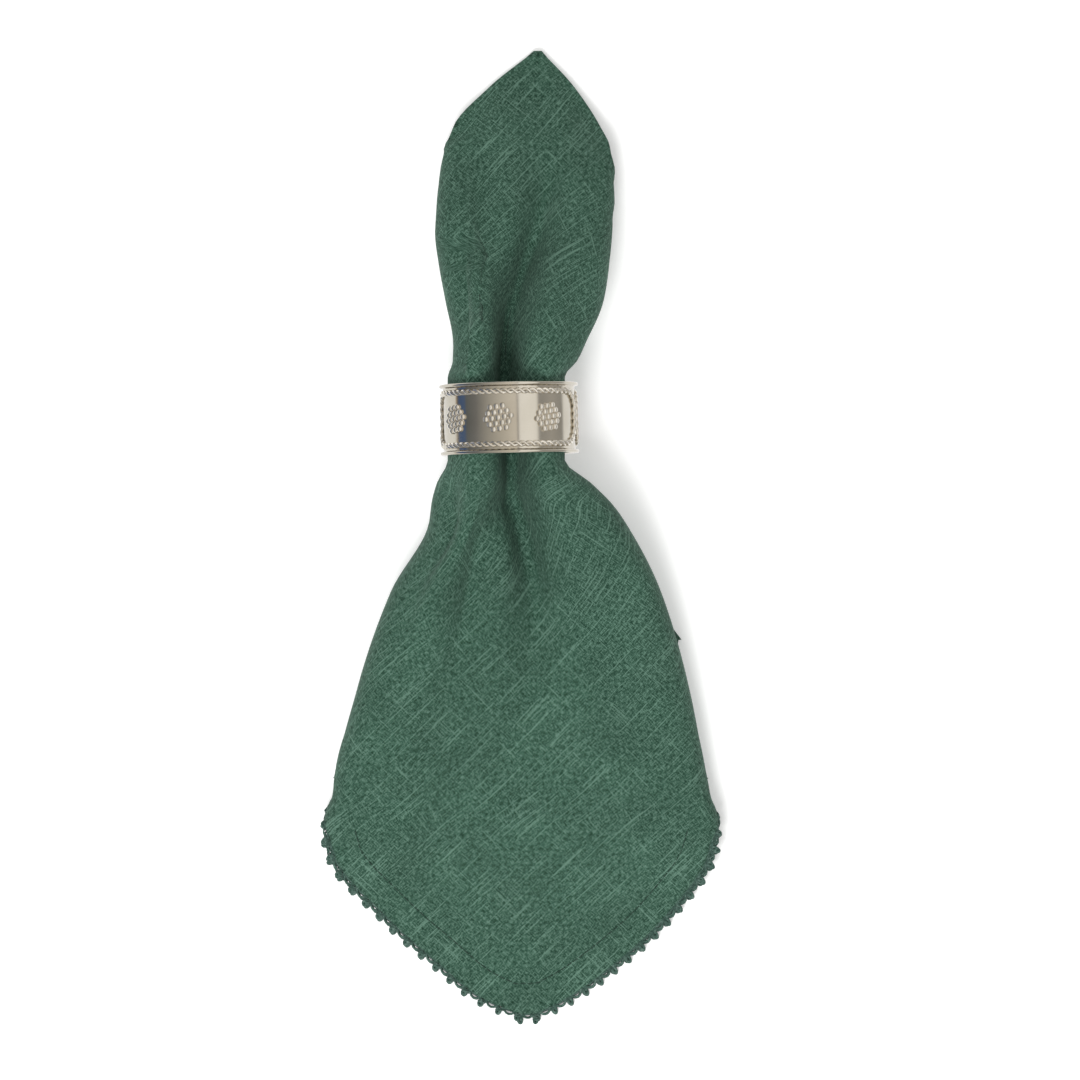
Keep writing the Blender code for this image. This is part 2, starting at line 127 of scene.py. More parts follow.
def grade(tree, value, stops):
    """Colour ramp: (place, colour) stops."""
    ramp = add_node(tree, "ShaderNodeValToRGB")
    elements = ramp.color_ramp.elements
    for number, (place, colour) in enumerate(stops):
        stop = elements[number] if number < 2 else elements.new(place)
        stop.position = place
        stop.color = (*colour, 1.0)
    link(tree, value, ramp.inputs[0])
    return ramp.outputs[0]


def body_noise(tree, scale, detail):
    """Noise that stays fixed to the object itself."""
    place = add_node(tree, "ShaderNodeTexCoord")
    noise = add_node(tree, "ShaderNodeTexNoise", Scale=scale, Detail=detail)
    link(tree, place.outputs["Object"], noise.inputs["Vector"])
    return noise.outputs[0]


def raise_surface(tree, shader, height, strength, distance):
    """Relief on a shader. The distance is in metres."""
    bump = add_node(tree, "ShaderNodeBump", Strength=strength, Distance=distance)
    link(tree, height, bump.inputs["Height"], bump.outputs[0], shader.inputs["Normal"])


# %% World: even light for cloth, soft bands for mirrors
BANDS = (                     # angle from overhead towards +X, in degrees, and what a mirror sees there
    (-180, (0.95, 0.95, 0.95)),
    (-108, (0.90, 0.90, 0.88)),
    (-105, (0.50, 0.40, 0.28)),
    (-101, (0.13, 0.14, 0.16)),
    (-97, (0.08, 0.13, 0.26)),
    (-84, (0.09, 0.14, 0.26)),
    (-80, (0.14, 0.15, 0.15)),
    (-60, (0.20, 0.20, 0.20)),
    (-30, (0.46, 0.44, 0.40)),
    (0, (0.68, 0.64, 0.57)),
    (13, (0.76, 0.71, 0.64)),
    (15.5, (0.22, 0.21, 0.20)),
    (18, (1.00, 0.98, 0.95)),
    (50, (0.98, 0.96, 0.92)),
    (54, (0.34, 0.33, 0.31)),
    (80, (0.44, 0.42, 0.39)),
    (106, (0.34, 0.33, 0.31)),
    (112, (0.92, 0.91, 0.89)),
    (180, (0.95, 0.95, 0.95)),
)
world = bpy.data.worlds.new("studio")
world.use_nodes = True
bpy.context.scene.world = world
tree = world.node_tree
tree.nodes.clear()
direction = add_node(tree, "ShaderNodeTexCoord")
parts = add_node(tree, "ShaderNodeSeparateXYZ")
link(tree, direction.outputs["Generated"], parts.inputs[0])
angle = calculate(tree, "ARCTAN2", parts.outputs["X"], parts.outputs["Z"])
share = calculate(tree, "MULTIPLY_ADD", angle, 0.5 / math.pi, 0.5)
bands = add_node(tree, "ShaderNodeValToRGB")
for number, (degrees, colour) in enumerate(BANDS):
    place = degrees / 360 + 0.5
    stop = bands.color_ramp.elements[0] if number == 0 else bands.color_ramp.elements.new(place)
    stop.position = place
    stop.color = (*colour, 1.0)
bands.color_ramp.elements.remove(bands.color_ramp.elements[-1])
mirror = add_node(tree, "ShaderNodeBackground", Strength=1.0)
even = add_node(tree, "ShaderNodeBackground", Color=(1.0, 0.99, 0.97, 1.0), Strength=0.54)
rays = add_node(tree, "ShaderNodeLightPath")
either = add_node(tree, "ShaderNodeMixShader")
world_out = add_node(tree, "ShaderNodeOutputWorld")
link(tree, share, bands.inputs[0], bands.outputs[0], mirror.inputs[0],
     rays.outputs["Is Glossy Ray"], either.inputs[0], even.outputs[0], either.inputs[1],
     mirror.outputs[0], either.inputs[2], either.outputs[0], world_out.inputs[0])
print("Bands of the room:", len(BANDS))


# %% Lamp and table
def soft_lamp(name, place, size, watts):
    data = bpy.data.lights.new(name, "AREA")
    data.size = size
    data.energy = watts
    lamp = bpy.data.objects.new(name, data)
    lamp.location = place
    lamp.rotation_euler = (-Vector(place)).to_track_quat("-Z", "Y").to_euler()
    lamp.visible_glossy = False
    lamp.visible_camera = False
    bpy.context.scene.collection.objects.link(lamp)


soft_lamp("lamp_near", (-0.22, -0.62, 1.15), 0.45, 10.0)
soft_lamp("lamp_over", (-0.35, 0.05, 1.3), 0.5, 2.5)

table_data = bpy.data.meshes.new("table")
TABLE_HALF = 4.0
table_data.from_pydata([(-TABLE_HALF, -TABLE_HALF, 0), (TABLE_HALF, -TABLE_HALF, 0),
                        (TABLE_HALF, TABLE_HALF, 0), (-TABLE_HALF, TABLE_HALF, 0)], [], [(0, 1, 2, 3)])
table = bpy.data.objects.new("table", table_data)
bpy.context.scene.collection.objects.link(table)
table.visible_glossy = False
table_data.materials.append(new_material(
    "table_white", Base_Color=(0.92, 0.92, 0.92, 1.0), Roughness=0.9, Specular_IOR_Level=0.1,
    Emission_Color=(1.0, 1.0, 1.0, 1.0), Emission_Strength=0.3)[0])
print("Lamps and table made")

# %% [markdown]
# ## The folds of the napkin
# The napkin is one thin sheet in four layers, so its shape is a rule and not a heap: at each place along
# the object, a cross-section is one curved line, and the four layers run beside that line. A table holds
# such sections from the closed corner at the top to the open corner at the bottom. Each line starts at
# the end of the left flap under the object, comes round the left side fold, over the left crest, down
# into the valley, and the same way back on the right. In the ring it is rolled up into a scroll.
# Cloth simulation would also give folds, but not these folds, and drawing it through a ring is slow.

# %% The sections' table
Row = namedtuple("Row", "station left right crest_left crest_right crest valley valley_height "
                        "left_tuck right_tuck edge lift slant roll settle")
ROWS = [Row(*values) for values in (
    # A tuck is the cloth past the front: round the side fold and on along the flap. Lift raises the
    # right flap, slant is how steeply the flaps slope down the sheet, roll is 1 where the ring holds it,
    # and settle sinks the thin layers where the tips rest on the table.
    # station left  right  crests (x, x, z)      valley (x, z)  tucks       edge  lift slant  roll settle
    (130.8,   8.6,  11.8,    9.8,  10.6,   2.5,  10.2,   2.5,   0.0,  0.0,  2.5,  0.0, 0.00, 0.00, 2.5),
    (118.0,  -7.2,  23.4,    2.0,  15.0,   4.2,   9.0,   4.1,   0.0,  0.0,  3.0,  0.0, 0.00, 0.00, 1.6),
    (103.0, -19.9,  32.8,   -5.0,  20.0,   8.5,  12.0,   8.0,   0.0,  0.0,  6.0,  0.0, 0.00, 0.00, 0.5),
    (96.0,  -23.3,  35.8,   -8.0,  22.0,  11.0,  13.0,  10.2,   7.0,  0.0,  9.0,  0.0, 0.00, 0.00, 0.0),
    (87.0,  -24.6,  37.2,  -10.0,  24.0,  14.6,  12.5,  12.4,  23.0,  4.5, 13.5,  0.0, 0.00, 0.00, 0.0),
    (76.0,  -25.7,  37.0,  -11.0,  24.0,  18.2,  11.5,  13.8,  38.0, 17.0,  0.0,  0.0, 0.00, 0.00, 0.0),
    (66.0,  -26.3,  36.2,  -12.0,  23.0,  21.4,   9.5,  14.2,  53.0, 36.0,  0.0,  0.0, 0.00, 0.00, 0.0),
    (54.0,  -25.0,  36.6,  -12.0,  20.0,  26.0,   4.0,  14.5,  60.0, 50.0,  0.0,  0.0, 0.00, 0.08, 0.0),
    (42.0,  -22.8,  38.0,  -11.5,  17.0,  31.0,   1.0,  14.5,  67.0, 63.0,  0.0,  0.0, 0.00, 0.25, 0.0),
    (26.0,  -15.3,  45.0,   -9.5,  15.0,  38.0,  -1.2,  14.0,  59.0, 55.0,  0.0,  0.0, 0.00, 0.70, 0.0),
    (20.0,   -9.5,  52.0,   -9.0,  14.0,  40.5,  -1.4,  16.0,  59.0, 55.0,  0.0,  0.0, 0.00, 0.86, 0.0),
    (14.5,  -21.9,  21.9,   -9.0,   9.0,  43.0,  -1.5,  23.0,  59.0, 55.0,  0.0,  0.0, 0.00, 1.00, 0.0),
    (-14.5, -21.9,  21.9,   -9.0,   9.0,  43.0,   0.9,  23.0,  59.0, 55.0,  0.0,  0.0, 0.00, 1.00, 0.0),
    (-22.0, -34.0,  50.0,  -12.0,  14.0,  40.5,   1.0,  17.0,  69.0, 61.0,  0.0,  6.0, 0.15, 0.70, 0.0),
    (-29.0, -29.5,  42.0,  -13.5,  17.5,  37.2,   2.0,  17.5,  90.0, 68.0,  0.0,  6.0, 0.35, 0.28, 0.0),
    (-36.0, -28.2,  40.5,  -15.0,  20.5,  34.0,   3.2,  18.5, 107.0, 74.0,  0.0,  6.0, 0.55, 0.00, 0.0),
    (-60.0, -41.5,  53.0,  -26.5,  31.5,  26.4,   8.5,  17.0,  96.0, 78.0,  0.0,  2.0, 0.45, 0.00, 0.0),
    (-95.0, -53.7,  63.3,  -39.0,  47.0,  21.0,   9.0,  14.8,  65.0, 48.0,  0.0,  0.0, 0.40, 0.00, 0.0),
    (-128., -62.0,  70.0,  -46.0,  54.0,  16.8,   9.0,  14.6,  29.0, 19.0,  0.0,  0.0, 0.35, 0.00, 0.0),
    (-136., -64.3,  72.4,  -43.0,  54.0,  15.2,   8.0,  14.3,  12.0,  7.0, 14.8,  0.0, 0.00, 0.00, 0.0),
    (-143., -65.6,  74.0,  -42.0,  52.0,  13.8,   6.0,  13.4,   4.0,  2.5, 13.0,  0.0, 0.00, 0.00, 0.2),
    (-152., -62.0,  70.2,  -34.0,  46.0,  11.5,   6.0,  11.5,   0.0,  0.0,  9.0,  0.0, 0.00, 0.00, 0.8),
    (-176., -42.8,  54.3,  -22.0,  32.0,   6.0,   6.0,   6.0,   0.0,  0.0,  4.0,  0.0, 0.00, 0.00, 2.0),
    (-192., -25.0,  37.2,  -10.0,  22.0,   4.0,   6.0,   4.0,   0.0,  0.0,  3.0,  0.0, 0.00, 0.00, 2.3),
    (-204., -10.3,  20.8,   -2.0,  12.0,   2.8,   6.0,   2.8,   0.0,  0.0,  2.6,  0.0, 0.00, 0.00, 2.5),
    (-210.,  3.4,   9.2,    5.4,   7.4,   2.5,   6.4,   2.5,   0.0,  0.0,  2.5,  0.0, 0.00, 0.00, 2.5),
)]
LAST_JOINED_STATION = -36.0   # below this the layers' edges are open hems
print("Sections in the table:", len(ROWS))

# %% [markdown]
# ### From a table row to a line
# A free section is put together from a valley, two crests and two side folds that curl under. A held
# section, in the ring, is a round-bottomed groove, two lobes and a scroll along the ring's wall. The
# roll column mixes the two, which gives the soft change of shape as the cloth goes into the ring.

# %% Lines of a section
AXIS_HEIGHT = RIM_RADIUS
PACK_HALF = 2.45              # from the section's line to the outside of the four layers
FLAP_LEVEL = {-1: PACK_HALF, 1: 3 * PACK_HALF + 0.3}
FOLDED_EDGE = 0.9             # the same at the closed corner's folded edges
FOLD_RADIUS = 10.0
VALLEY_STEPS = 5
TUCK_STEPS = 8
COLUMNS = 2 * (VALLEY_STEPS + 1 + TUCK_STEPS)
WALL_PATH = 19.15             # from the ring's axis to the line along the ring's wall
INNER_PATH = 13.05            # and to the line of the side that dives inside the scroll
CREST_ANGLE = math.radians(41)
GROOVE = {-1: ((0.0, -4.0), (-3.6, -2.4), (-5.2, 3.2), (-6.0, 9.4), (-7.9, 13.4)),
          1: ((0.0, -4.0), (3.2, -2.0), (5.6, 3.4), (7.4, 8.4), (9.6, 12.2))}   # x from the valley, z


def ease(share):
    return 0.5 - 0.5 * math.cos(math.pi * share)


def free_valley(row, side):
    crest = row.crest_right if side > 0 else row.crest_left
    shares = [step / VALLEY_STEPS for step in range(VALLEY_STEPS)]
    return [(row.valley + (crest - row.valley) * share,
             row.valley_height + (row.crest - row.valley_height) * ease(share)) for share in shares]


def held_valley(row, side):
    return [(row.valley + x, AXIS_HEIGHT + z) for x, z in GROOVE[side]]


def side_fold(row, side):
    """Radius of a side fold, and the height where it starts."""
    level = FLAP_LEVEL[side] + (row.lift if side > 0 else 0.0)
    start = row.edge or min(row.crest, level + 2 * FOLD_RADIUS)
    return (start - level) / 2, start


def tuck_runs(row, side):
    """How far along the tuck each column lies."""
    tuck = row.right_tuck if side > 0 else row.left_tuck
    knee = min(tuck / 2, math.pi * side_fold(row, side)[0])
    return np.interp(np.arange(TUCK_STEPS + 1), (0, TUCK_STEPS / 2, TUCK_STEPS), (0.0, knee, tuck))


def free_side(row, side):
    crest = row.crest_right if side > 0 else row.crest_left
    edge = row.right if side > 0 else row.left
    radius, start = side_fold(row, side)
    runs = tuck_runs(row, side)
    if runs[-1] == 0.0:
        reach = edge if row.station < 0 else edge - side * FOLDED_EDGE
        shares = [step / (TUCK_STEPS + 1) for step in range(TUCK_STEPS + 2)]
        return [(crest + (reach - crest) * share,
                 row.crest + (start - row.crest) * ease(share)) for share in shares]
    bulge = radius * math.sin(min(math.pi / 2, runs[-1] / radius))
    centre = edge - side * (PACK_HALF + bulge)
    points = [(crest, row.crest)]
    for run in runs:
        turn = min(math.pi, run / radius)
        points.append((centre + side * (radius * math.sin(turn) - (run - radius * turn)),
                       start - radius * (1 - math.cos(turn))))
    return points


def held_side(side):
    crest = math.pi / 2 - CREST_ANGLE
    inner = WALL_PATH if side < 0 else INNER_PATH
    ends = (45, -55, -152) if side < 0 else (38, -26, -172)
    stops = ((crest, WALL_PATH), (math.radians(ends[0]), WALL_PATH),
             (math.radians(ends[1]), inner), (math.radians(ends[2]), inner))
    points = []
    for (start, near), (end, far), steps in zip(stops, stops[1:], (1, TUCK_STEPS // 2, TUCK_STEPS // 2)):
        for step in range(steps + (end == stops[-1][0])):
            share = step / steps
            radius = near + (far - near) * ease(share)
            turn = start + (end - start) * share
            points.append((side * radius * math.cos(turn), AXIS_HEIGHT + radius * math.sin(turn)))
    return points


def section_line(row):
    halves = []
    for side in (-1, 1):
        free = np.array(free_valley(row, side) + free_side(row, side))
        held = np.array(held_valley(row, side) + held_side(side))
        halves.append(free * (1 - row.roll) + held * row.roll)
    return np.vstack([halves[0][:0:-1], halves[1]])


def slides_of(row):
    """How far each column slides down the sheet, because flaps folded on a slant slope down."""
    slides = np.zeros(COLUMNS + 1)
    for side in (-1, 1):
        beyond = np.maximum(tuck_runs(row, side) - math.pi * side_fold(row, side)[0], 0.0)
        if side > 0:
            slides[-len(beyond):] = -row.slant * beyond
        else:
            slides[:len(beyond)] = -row.slant * beyond[::-1]
    return slides


rough_lines = np.array([section_line(row) for row in ROWS])
rough_slides = np.array([slides_of(row) for row in ROWS])
print("Section lines:", rough_lines.shape)

# %% [markdown]
# ### Smooth curves through the table
# Straight runs between the table's rows would show as facets. A monotone cubic runs through all rows
# without overshoot, so flat parts stay flat and the ring's part stays straight. Along each section a
# second cubic smooths the columns. Its slopes allow for how unevenly the columns are spaced, because a
# plain Catmull-Rom curve overshoots where a short gap follows a long one. The columns are closer
# together where the front's folds are, which is where the eye goes.


# %% Interpolation
def hermite(share, gap, before, after, slope_before, slope_after):
    """A cubic over one gap, from a value and slope to the next value and slope."""
    return ((1 + 2 * share) * (1 - share) ** 2 * before + share * (1 - share) ** 2 * gap * slope_before
            + share ** 2 * (3 - 2 * share) * after - share ** 2 * (1 - share) * gap * slope_after)


def monotone(knots, values, at):
    """Cubic curves through values at rising knots, with no overshoot (Fritsch and Carlson)."""
    shape = (-1,) + (1,) * (values.ndim - 1)
    gaps = np.diff(knots).reshape(shape)
    slopes = np.diff(values, axis=0) / gaps
    product = slopes[:-1] * slopes[1:]
    weights = gaps[:-1] + gaps[1:]
    with np.errstate(divide="ignore", invalid="ignore"):
        inner = 3 * weights * product / ((weights + gaps[1:]) * slopes[1:]
                                         + (weights + gaps[:-1]) * slopes[:-1])
    inner = np.where(product > 0, inner, 0.0)
    tangents = np.concatenate([slopes[:1], inner, slopes[-1:]])
    spot = np.clip(np.searchsorted(knots, at, side="right") - 1, 0, len(knots) - 2)
    share = (at - knots[spot]).reshape(shape) / gaps[spot]
    return hermite(share, gaps[spot], values[spot], values[spot + 1], tangents[spot], tangents[spot + 1])


def through_columns(values, at, chords):
    """Curves along the second axis, read at fractional column numbers, with slopes per chord."""
    gaps = chords.reshape(chords.shape + (1,) * (values.ndim - 2))
    slopes = np.diff(values, axis=1) / gaps
    inner = (slopes[:, :-1] * gaps[:, 1:] + slopes[:, 1:] * gaps[:, :-1]) / (gaps[:, :-1] + gaps[:, 1:])
    tangents = np.concatenate([slopes[:, :1], inner, slopes[:, -1:]], axis=1)
    spot = np.minimum(at.astype(int), values.shape[1] - 2)
    share = (at - spot).reshape((1, -1) + (1,) * (values.ndim - 2))
    return hermite(share, gaps[:, spot], values[:, spot], values[:, spot + 1],
                   tangents[:, spot], tangents[:, spot + 1])


ROW_SPACING = 2.5
SHORTEST_CHORD = 0.02
knots = -np.array([row.station for row in ROWS])
levels = [np.linspace(low, high, math.ceil((high - low) / ROW_SPACING), endpoint=False)
          for low, high in zip(knots, knots[1:])]
levels = np.concatenate(levels + [knots[-1:]])
front = (COLUMNS // 2 - VALLEY_STEPS, COLUMNS // 2 + VALLEY_STEPS)
columns = np.concatenate([np.arange(0, front[0], 0.5), np.arange(front[0], front[1], 0.25),
                          np.arange(front[1], COLUMNS + 0.1, 0.5)])
stations = -levels
lines = monotone(knots, rough_lines, levels)
chords = np.maximum(np.linalg.norm(np.diff(lines, axis=1), axis=2), SHORTEST_CHORD)
lines = through_columns(lines, columns, chords)
slides = through_columns(monotone(knots, rough_slides, levels), columns, chords)
settles = monotone(knots, np.array([row.settle for row in ROWS]), levels)
WIDTH = len(columns)
last_joined = int(np.argmin(np.abs(stations - LAST_JOINED_STATION)))
print("Rows and columns:", len(stations), WIDTH)

# %% [markdown]
# ### Small folds
# Pulled through a ring, cloth also gathers in smaller troughs that fan out and fade. Each is a line of
# places down the cloth with a strength, and the cloth is pressed in along its own normal beside it. A
# negative depth makes a ridge. A trough stays wide for its depth, or the top layer would cross itself.

# %% Small folds
Trough = namedtuple("Trough", "width depth places")
TROUGHS = (                   # places: station, x, strength
    Trough(5.6, 4.4, ((30, -9.0, 0), (45, -10.0, 0.7), (56, -10.0, 1), (70, -10.0, 1), (82, -10.3, 0.7),
                      (98, -9.5, 0))),
    Trough(4.5, -1.8, ((34, -2.0, 0), (50, -2.5, 0.8), (66, -1.0, 1), (84, 1.0, 0.8), (100, 2.0, 0))),
    Trough(5.5, 4.2, ((36, 2.0, 0), (48, 3.5, 0.8), (60, 7.5, 1), (78, 12.5, 0.9), (94, 15.0, 0))),
    Trough(6.2, 6.0, ((-20, -3.0, 0), (-29, -5.0, 0.7), (-42, -9.6, 1), (-56, -12.6, 1), (-70, -15.4, 0.9),
                      (-84, -18.5, 0.5), (-98, -21.5, 0.25), (-114, -25.0, 0))),
    Trough(3.6, -2.2, ((-24, -1.0, 0), (-42, -2.6, 1), (-56, -3.3, 1), (-72, -4.5, 0.7), (-92, -7.0, 0))),
    Trough(6.0, 6.0, ((-22, 1.2, 0), (-30, 2.4, 0.8), (-42, 5.0, 1), (-56, 7.8, 1), (-72, 9.5, 0.7),
                      (-108, 4.0, 0))),
    Trough(5.0, 1.4, ((-24, 22.5, 0), (-40, 30.0, 0.8), (-60, 41.0, 1), (-90, 54.0, 0.4), (-110, 60.0, 0))),
    Trough(3.0, 0.9, ((-20, 17.5, 0), (-32, 24.0, 1), (-46, 31.5, 0.7), (-64, 41.0, 0))),
    Trough(4.0, 1.3, ((-20, -19.0, 0), (-32, -21.5, 1), (-50, -31.0, 0.7), (-76, -42.0, 0))),
    Trough(4.0, 1.0, ((18, 16.0, 0), (30, 20.5, 0.9), (46, 25.0, 0.6), (62, 28.0, 0))),
)


def pressed(lines):
    along = np.gradient(lines, axis=1)
    along /= np.linalg.norm(along, axis=2)[..., None]
    normals = np.stack([-along[..., 1], along[..., 0]], axis=2)
    facing = np.clip(normals[..., 1], 0, 1)
    press = np.zeros(lines.shape[:2])
    for trough in TROUGHS:
        at, across, strength = (np.array(values) for values in zip(*sorted(trough.places)))
        middle = np.interp(stations, at, across)
        force = trough.depth * np.interp(stations, at, strength, left=0, right=0)
        press += force[:, None] * np.exp(-((lines[..., 0] - middle[:, None]) / trough.width) ** 2)
    return lines - normals * (press * facing)[..., None]


lines = pressed(lines)
print("Small folds:", len(TROUGHS))

# %% [markdown]
# ### The sheet itself
# The four layers run beside the line and join each other at the folded edges. Both faces of the cloth
# are made directly, half a thickness to either side, and meet along the hem: a thickness added afterwards
# would tear at such tight folds. On the flat sheet each point has its place in metres, which the weave
# follows as its UV map, and its distance to the hem, which the hem's own relief follows.

# %% Layers
CLOTH = 0.5
LAYER_OFFSETS = (2.2, 1.6, 1.0, 0.4)
FACE_UP = (1, -1, 1, -1)      # which way the napkin's right side faces in each layer
TURNS = {"left_outer": (0, 1, 0, 3, 6, 1), "left_inner": (0, 1, 1, 2, 3, -1),
         "right_upper": (-1, -2, 0, 1, 3, 1), "right_lower": (-1, -2, 2, 3, 3, 1)}
EDGE_SHIFTS = ((0.0, 0.5, 0.2, 0.8), (0.0, 0.7, 1.1, 0.5))   # layers' hems don't quite meet: left, right
SHIFTED_COLUMNS = 10


def mitred(line):
    steps = np.diff(line, axis=0)
    steps /= np.linalg.norm(steps, axis=1)[:, None]
    sides = np.column_stack([-steps[:, 1], steps[:, 0]])
    middle = np.vstack([sides[:1], sides]) + np.vstack([sides, sides[-1:]])
    return 2 * middle / np.maximum(np.sum(middle * middle, axis=1), 2.0)[:, None]


def edge_shifts(number, layer):
    """How far each column moves outwards along the line, so that the hems lie a little apart."""
    moves = np.zeros(WIDTH)
    openness = np.clip((number - last_joined) / 6, 0, 1)
    ramp = np.linspace(1, 0, SHIFTED_COLUMNS) * openness
    moves[:SHIFTED_COLUMNS] = -ramp * EDGE_SHIFTS[0][layer]
    moves[-SHIFTED_COLUMNS:] = ramp[::-1] * EDGE_SHIFTS[1][layer]
    return moves


class Sheet:
    """One face of the napkin, at a height above its middle: points, and their numbers."""

    def __init__(self, height):
        self.height = height
        self.points = []
        self.layers = []      # [row][layer][column] -> point number
        self.turns = []       # [row][fold] -> point numbers round the folded edge
        for number in range(len(stations)):
            self.add_row(number)

    def add(self, x, y, z):
        self.points.append((x, y, z))
        return len(self.points) - 1

    def add_row(self, number):
        line, slide = lines[number], slides[number]
        normals = mitred(line)
        along = np.gradient(line, axis=0)
        along /= np.linalg.norm(along, axis=1)[:, None]
        station = stations[number] + (self.height if number == 0 else 0.0)
        layers = []
        for layer, (offset, facing) in enumerate(zip(LAYER_OFFSETS, FACE_UP)):
            spots = line + normals * (offset - settles[number] + facing * self.height)
            spots = spots + along * edge_shifts(number, layer)[:, None]
            layers.append([self.add(x, station + down, z) for (x, z), down in zip(spots, slide)])
        self.layers.append(layers)
        if number <= last_joined:
            self.turns.append({name: self.turn(number, station, *spec) for name, spec in TURNS.items()})

    def turn(self, number, station, end, inward, upper, lower, steps, facing):
        line = lines[number]
        normals = mitred(line)
        along = line[end] - line[inward]
        along /= np.linalg.norm(along)
        middle = (LAYER_OFFSETS[upper] + LAYER_OFFSETS[lower]) / 2 - settles[number]
        radius = (LAYER_OFFSETS[upper] - LAYER_OFFSETS[lower]) / 2 + facing * self.height
        centre = line[end] + normals[end] * middle
        numbers = []
        for step in range(1, steps):
            angle = math.pi * step / steps
            x, z = centre + radius * (along * math.sin(angle) + normals[end] * math.cos(angle))
            numbers.append(self.add(x, station + slides[number][end], z))
        return numbers

    def folded_edge(self, number, name):
        end, _, upper, lower, _, _ = TURNS[name]
        layers = self.layers[number]
        return [layers[upper][end]] + self.turns[number][name] + [layers[lower][end]]


def bridge(upper, lower):
    return [(upper[spot], lower[spot], lower[spot + 1], upper[spot + 1]) for spot in range(len(upper) - 1)]


def closing_faces(sheet):
    """Close the first row, where the sheet's middle is folded into a corner."""
    first, second, third, fourth = sheet.layers[0]
    turns = sheet.turns[0]
    faces = []
    for upper, lower, tips in ((first, second, turns["right_upper"]), (third, fourth, turns["right_lower"])):
        faces += [(upper[spot], upper[spot + 1], lower[spot + 1], lower[spot]) for spot in range(WIDTH - 1)]
        faces.append((upper[-1], *tips, lower[-1]))
    outer = [first[0]] + turns["left_outer"] + [fourth[0]]
    inner = [second[0]] + turns["left_inner"] + [third[0]]
    faces.append((outer[0], inner[0], inner[1], outer[1]))
    faces.append((inner[1], outer[3], outer[2], outer[1]))
    faces.append((inner[1], inner[2], outer[4], outer[3]))
    faces.append((inner[2], inner[3], outer[6], outer[5], outer[4]))
    return faces


def sheet_faces(sheet):
    faces = closing_faces(sheet)
    for number in range(len(stations) - 1):
        for upper, lower in zip(sheet.layers[number], sheet.layers[number + 1]):
            faces += bridge(upper, lower)
        if number < last_joined:
            for name in TURNS:
                faces += bridge(sheet.folded_edge(number, name), sheet.folded_edge(number + 1, name))
    return faces


def hem_loop(sheet):
    """The open edge as one loop of (point number, inner neighbour's number, place)."""
    last = len(stations) - 1
    loop = []
    for layer, start, name in ((0, 0, "right_upper"), (1, -1, "left_inner"),
                               (2, 0, "right_lower"), (3, -1, "left_outer")):
        finish = -1 if start == 0 else 0
        near = {0: 1, -1: -2}
        loop += [(sheet.layers[number][layer][start], sheet.layers[number][layer][near[start]], "side")
                 for number in range(last_joined, last)]
        order = range(WIDTH) if start == 0 else range(WIDTH - 1, -1, -1)
        loop += [(sheet.layers[last][layer][column], sheet.layers[last - 3][layer][column], "corner")
                 for column in order]
        loop += [(sheet.layers[number][layer][finish], sheet.layers[number][layer][near[finish]], "side")
                 for number in range(last - 1, last_joined - 1, -1)]
        fold = sheet.turns[last_joined][name]
        loop += [(point, sheet.layers[last_joined][layer][near[finish]], "fold")
                 for point in (fold[::-1] if name == "left_outer" else fold)]
    return loop


right_face, wrong_face, middle_face = Sheet(CLOTH / 2), Sheet(-CLOTH / 2), Sheet(0.0)
hem = hem_loop(right_face)
print("Points on each face:", len(right_face.points), "points round the hem:", len(hem))

# %% [markdown]
# ### Places on the flat sheet
# The arc length along each section, counted from the middle column, and the way down the sheet are
# nearly the flat sheet's own coordinates. The threads run at 45 degrees to them, because the napkin is
# turned on its corner.


# %% Flat places and hem distance
def flat_places():
    """For every point of a face: its place across and down the flat sheet, in millimetres."""
    count = len(right_face.points)
    flat = np.zeros((count, 2))
    spots = np.array(middle_face.points)
    down = np.concatenate([[0.0], np.cumsum(np.hypot(
        np.diff(stations), np.diff(lines[:, WIDTH // 2, 1])))])
    for number in range(len(stations)):
        for layer in range(4):
            ids = right_face.layers[number][layer]
            run = np.concatenate([[0.0], np.cumsum(np.linalg.norm(np.diff(spots[ids], axis=0), axis=1))])
            across = run - run[WIDTH // 2]
            flat[ids, 0] = across
            flat[ids, 1] = down[number]
        if number <= last_joined:
            for name, (end, _, upper, _, _, _) in TURNS.items():
                ids = right_face.turns[number][name]
                flat[ids] = flat[right_face.layers[number][upper][end]]
    return flat


def hem_distances(flat):
    """Distance to the hem's outline on the flat sheet, layer by layer."""
    distances = np.full(len(flat), 99.0)
    open_rows = range(last_joined, len(stations))
    for layer in range(4):
        outline = np.array([flat[right_face.layers[number][layer][end]]
                            for end, rows in ((0, open_rows), (-1, reversed(open_rows))) for number in rows])
        starts, ends = outline[:-1], outline[1:]
        runs = ends - starts
        lengths = np.maximum(np.sum(runs * runs, axis=1), 1e-9)
        ids = np.array([right_face.layers[number][layer] for number in range(len(stations))]).ravel()
        for part in np.array_split(ids, 24):
            offsets = flat[part][:, None] - starts[None]
            shares = np.clip(np.sum(offsets * runs, axis=2) / lengths, 0, 1)
            gaps = offsets - shares[..., None] * runs
            distances[part] = np.sqrt(np.min(np.sum(gaps * gaps, axis=2), axis=1))
    return distances


flat = flat_places()
from_hem = hem_distances(flat)
threads = MM * np.column_stack([flat[:, 1] + flat[:, 0], flat[:, 1] - flat[:, 0]]) / math.sqrt(2)
print("Way down the sheet, mm:", round(float(flat[:, 1].max()), 1))


# %% Napkin mesh
def new_object(name, mesh):
    thing = bpy.data.objects.new(name, mesh)
    bpy.context.scene.collection.objects.link(thing)
    return thing


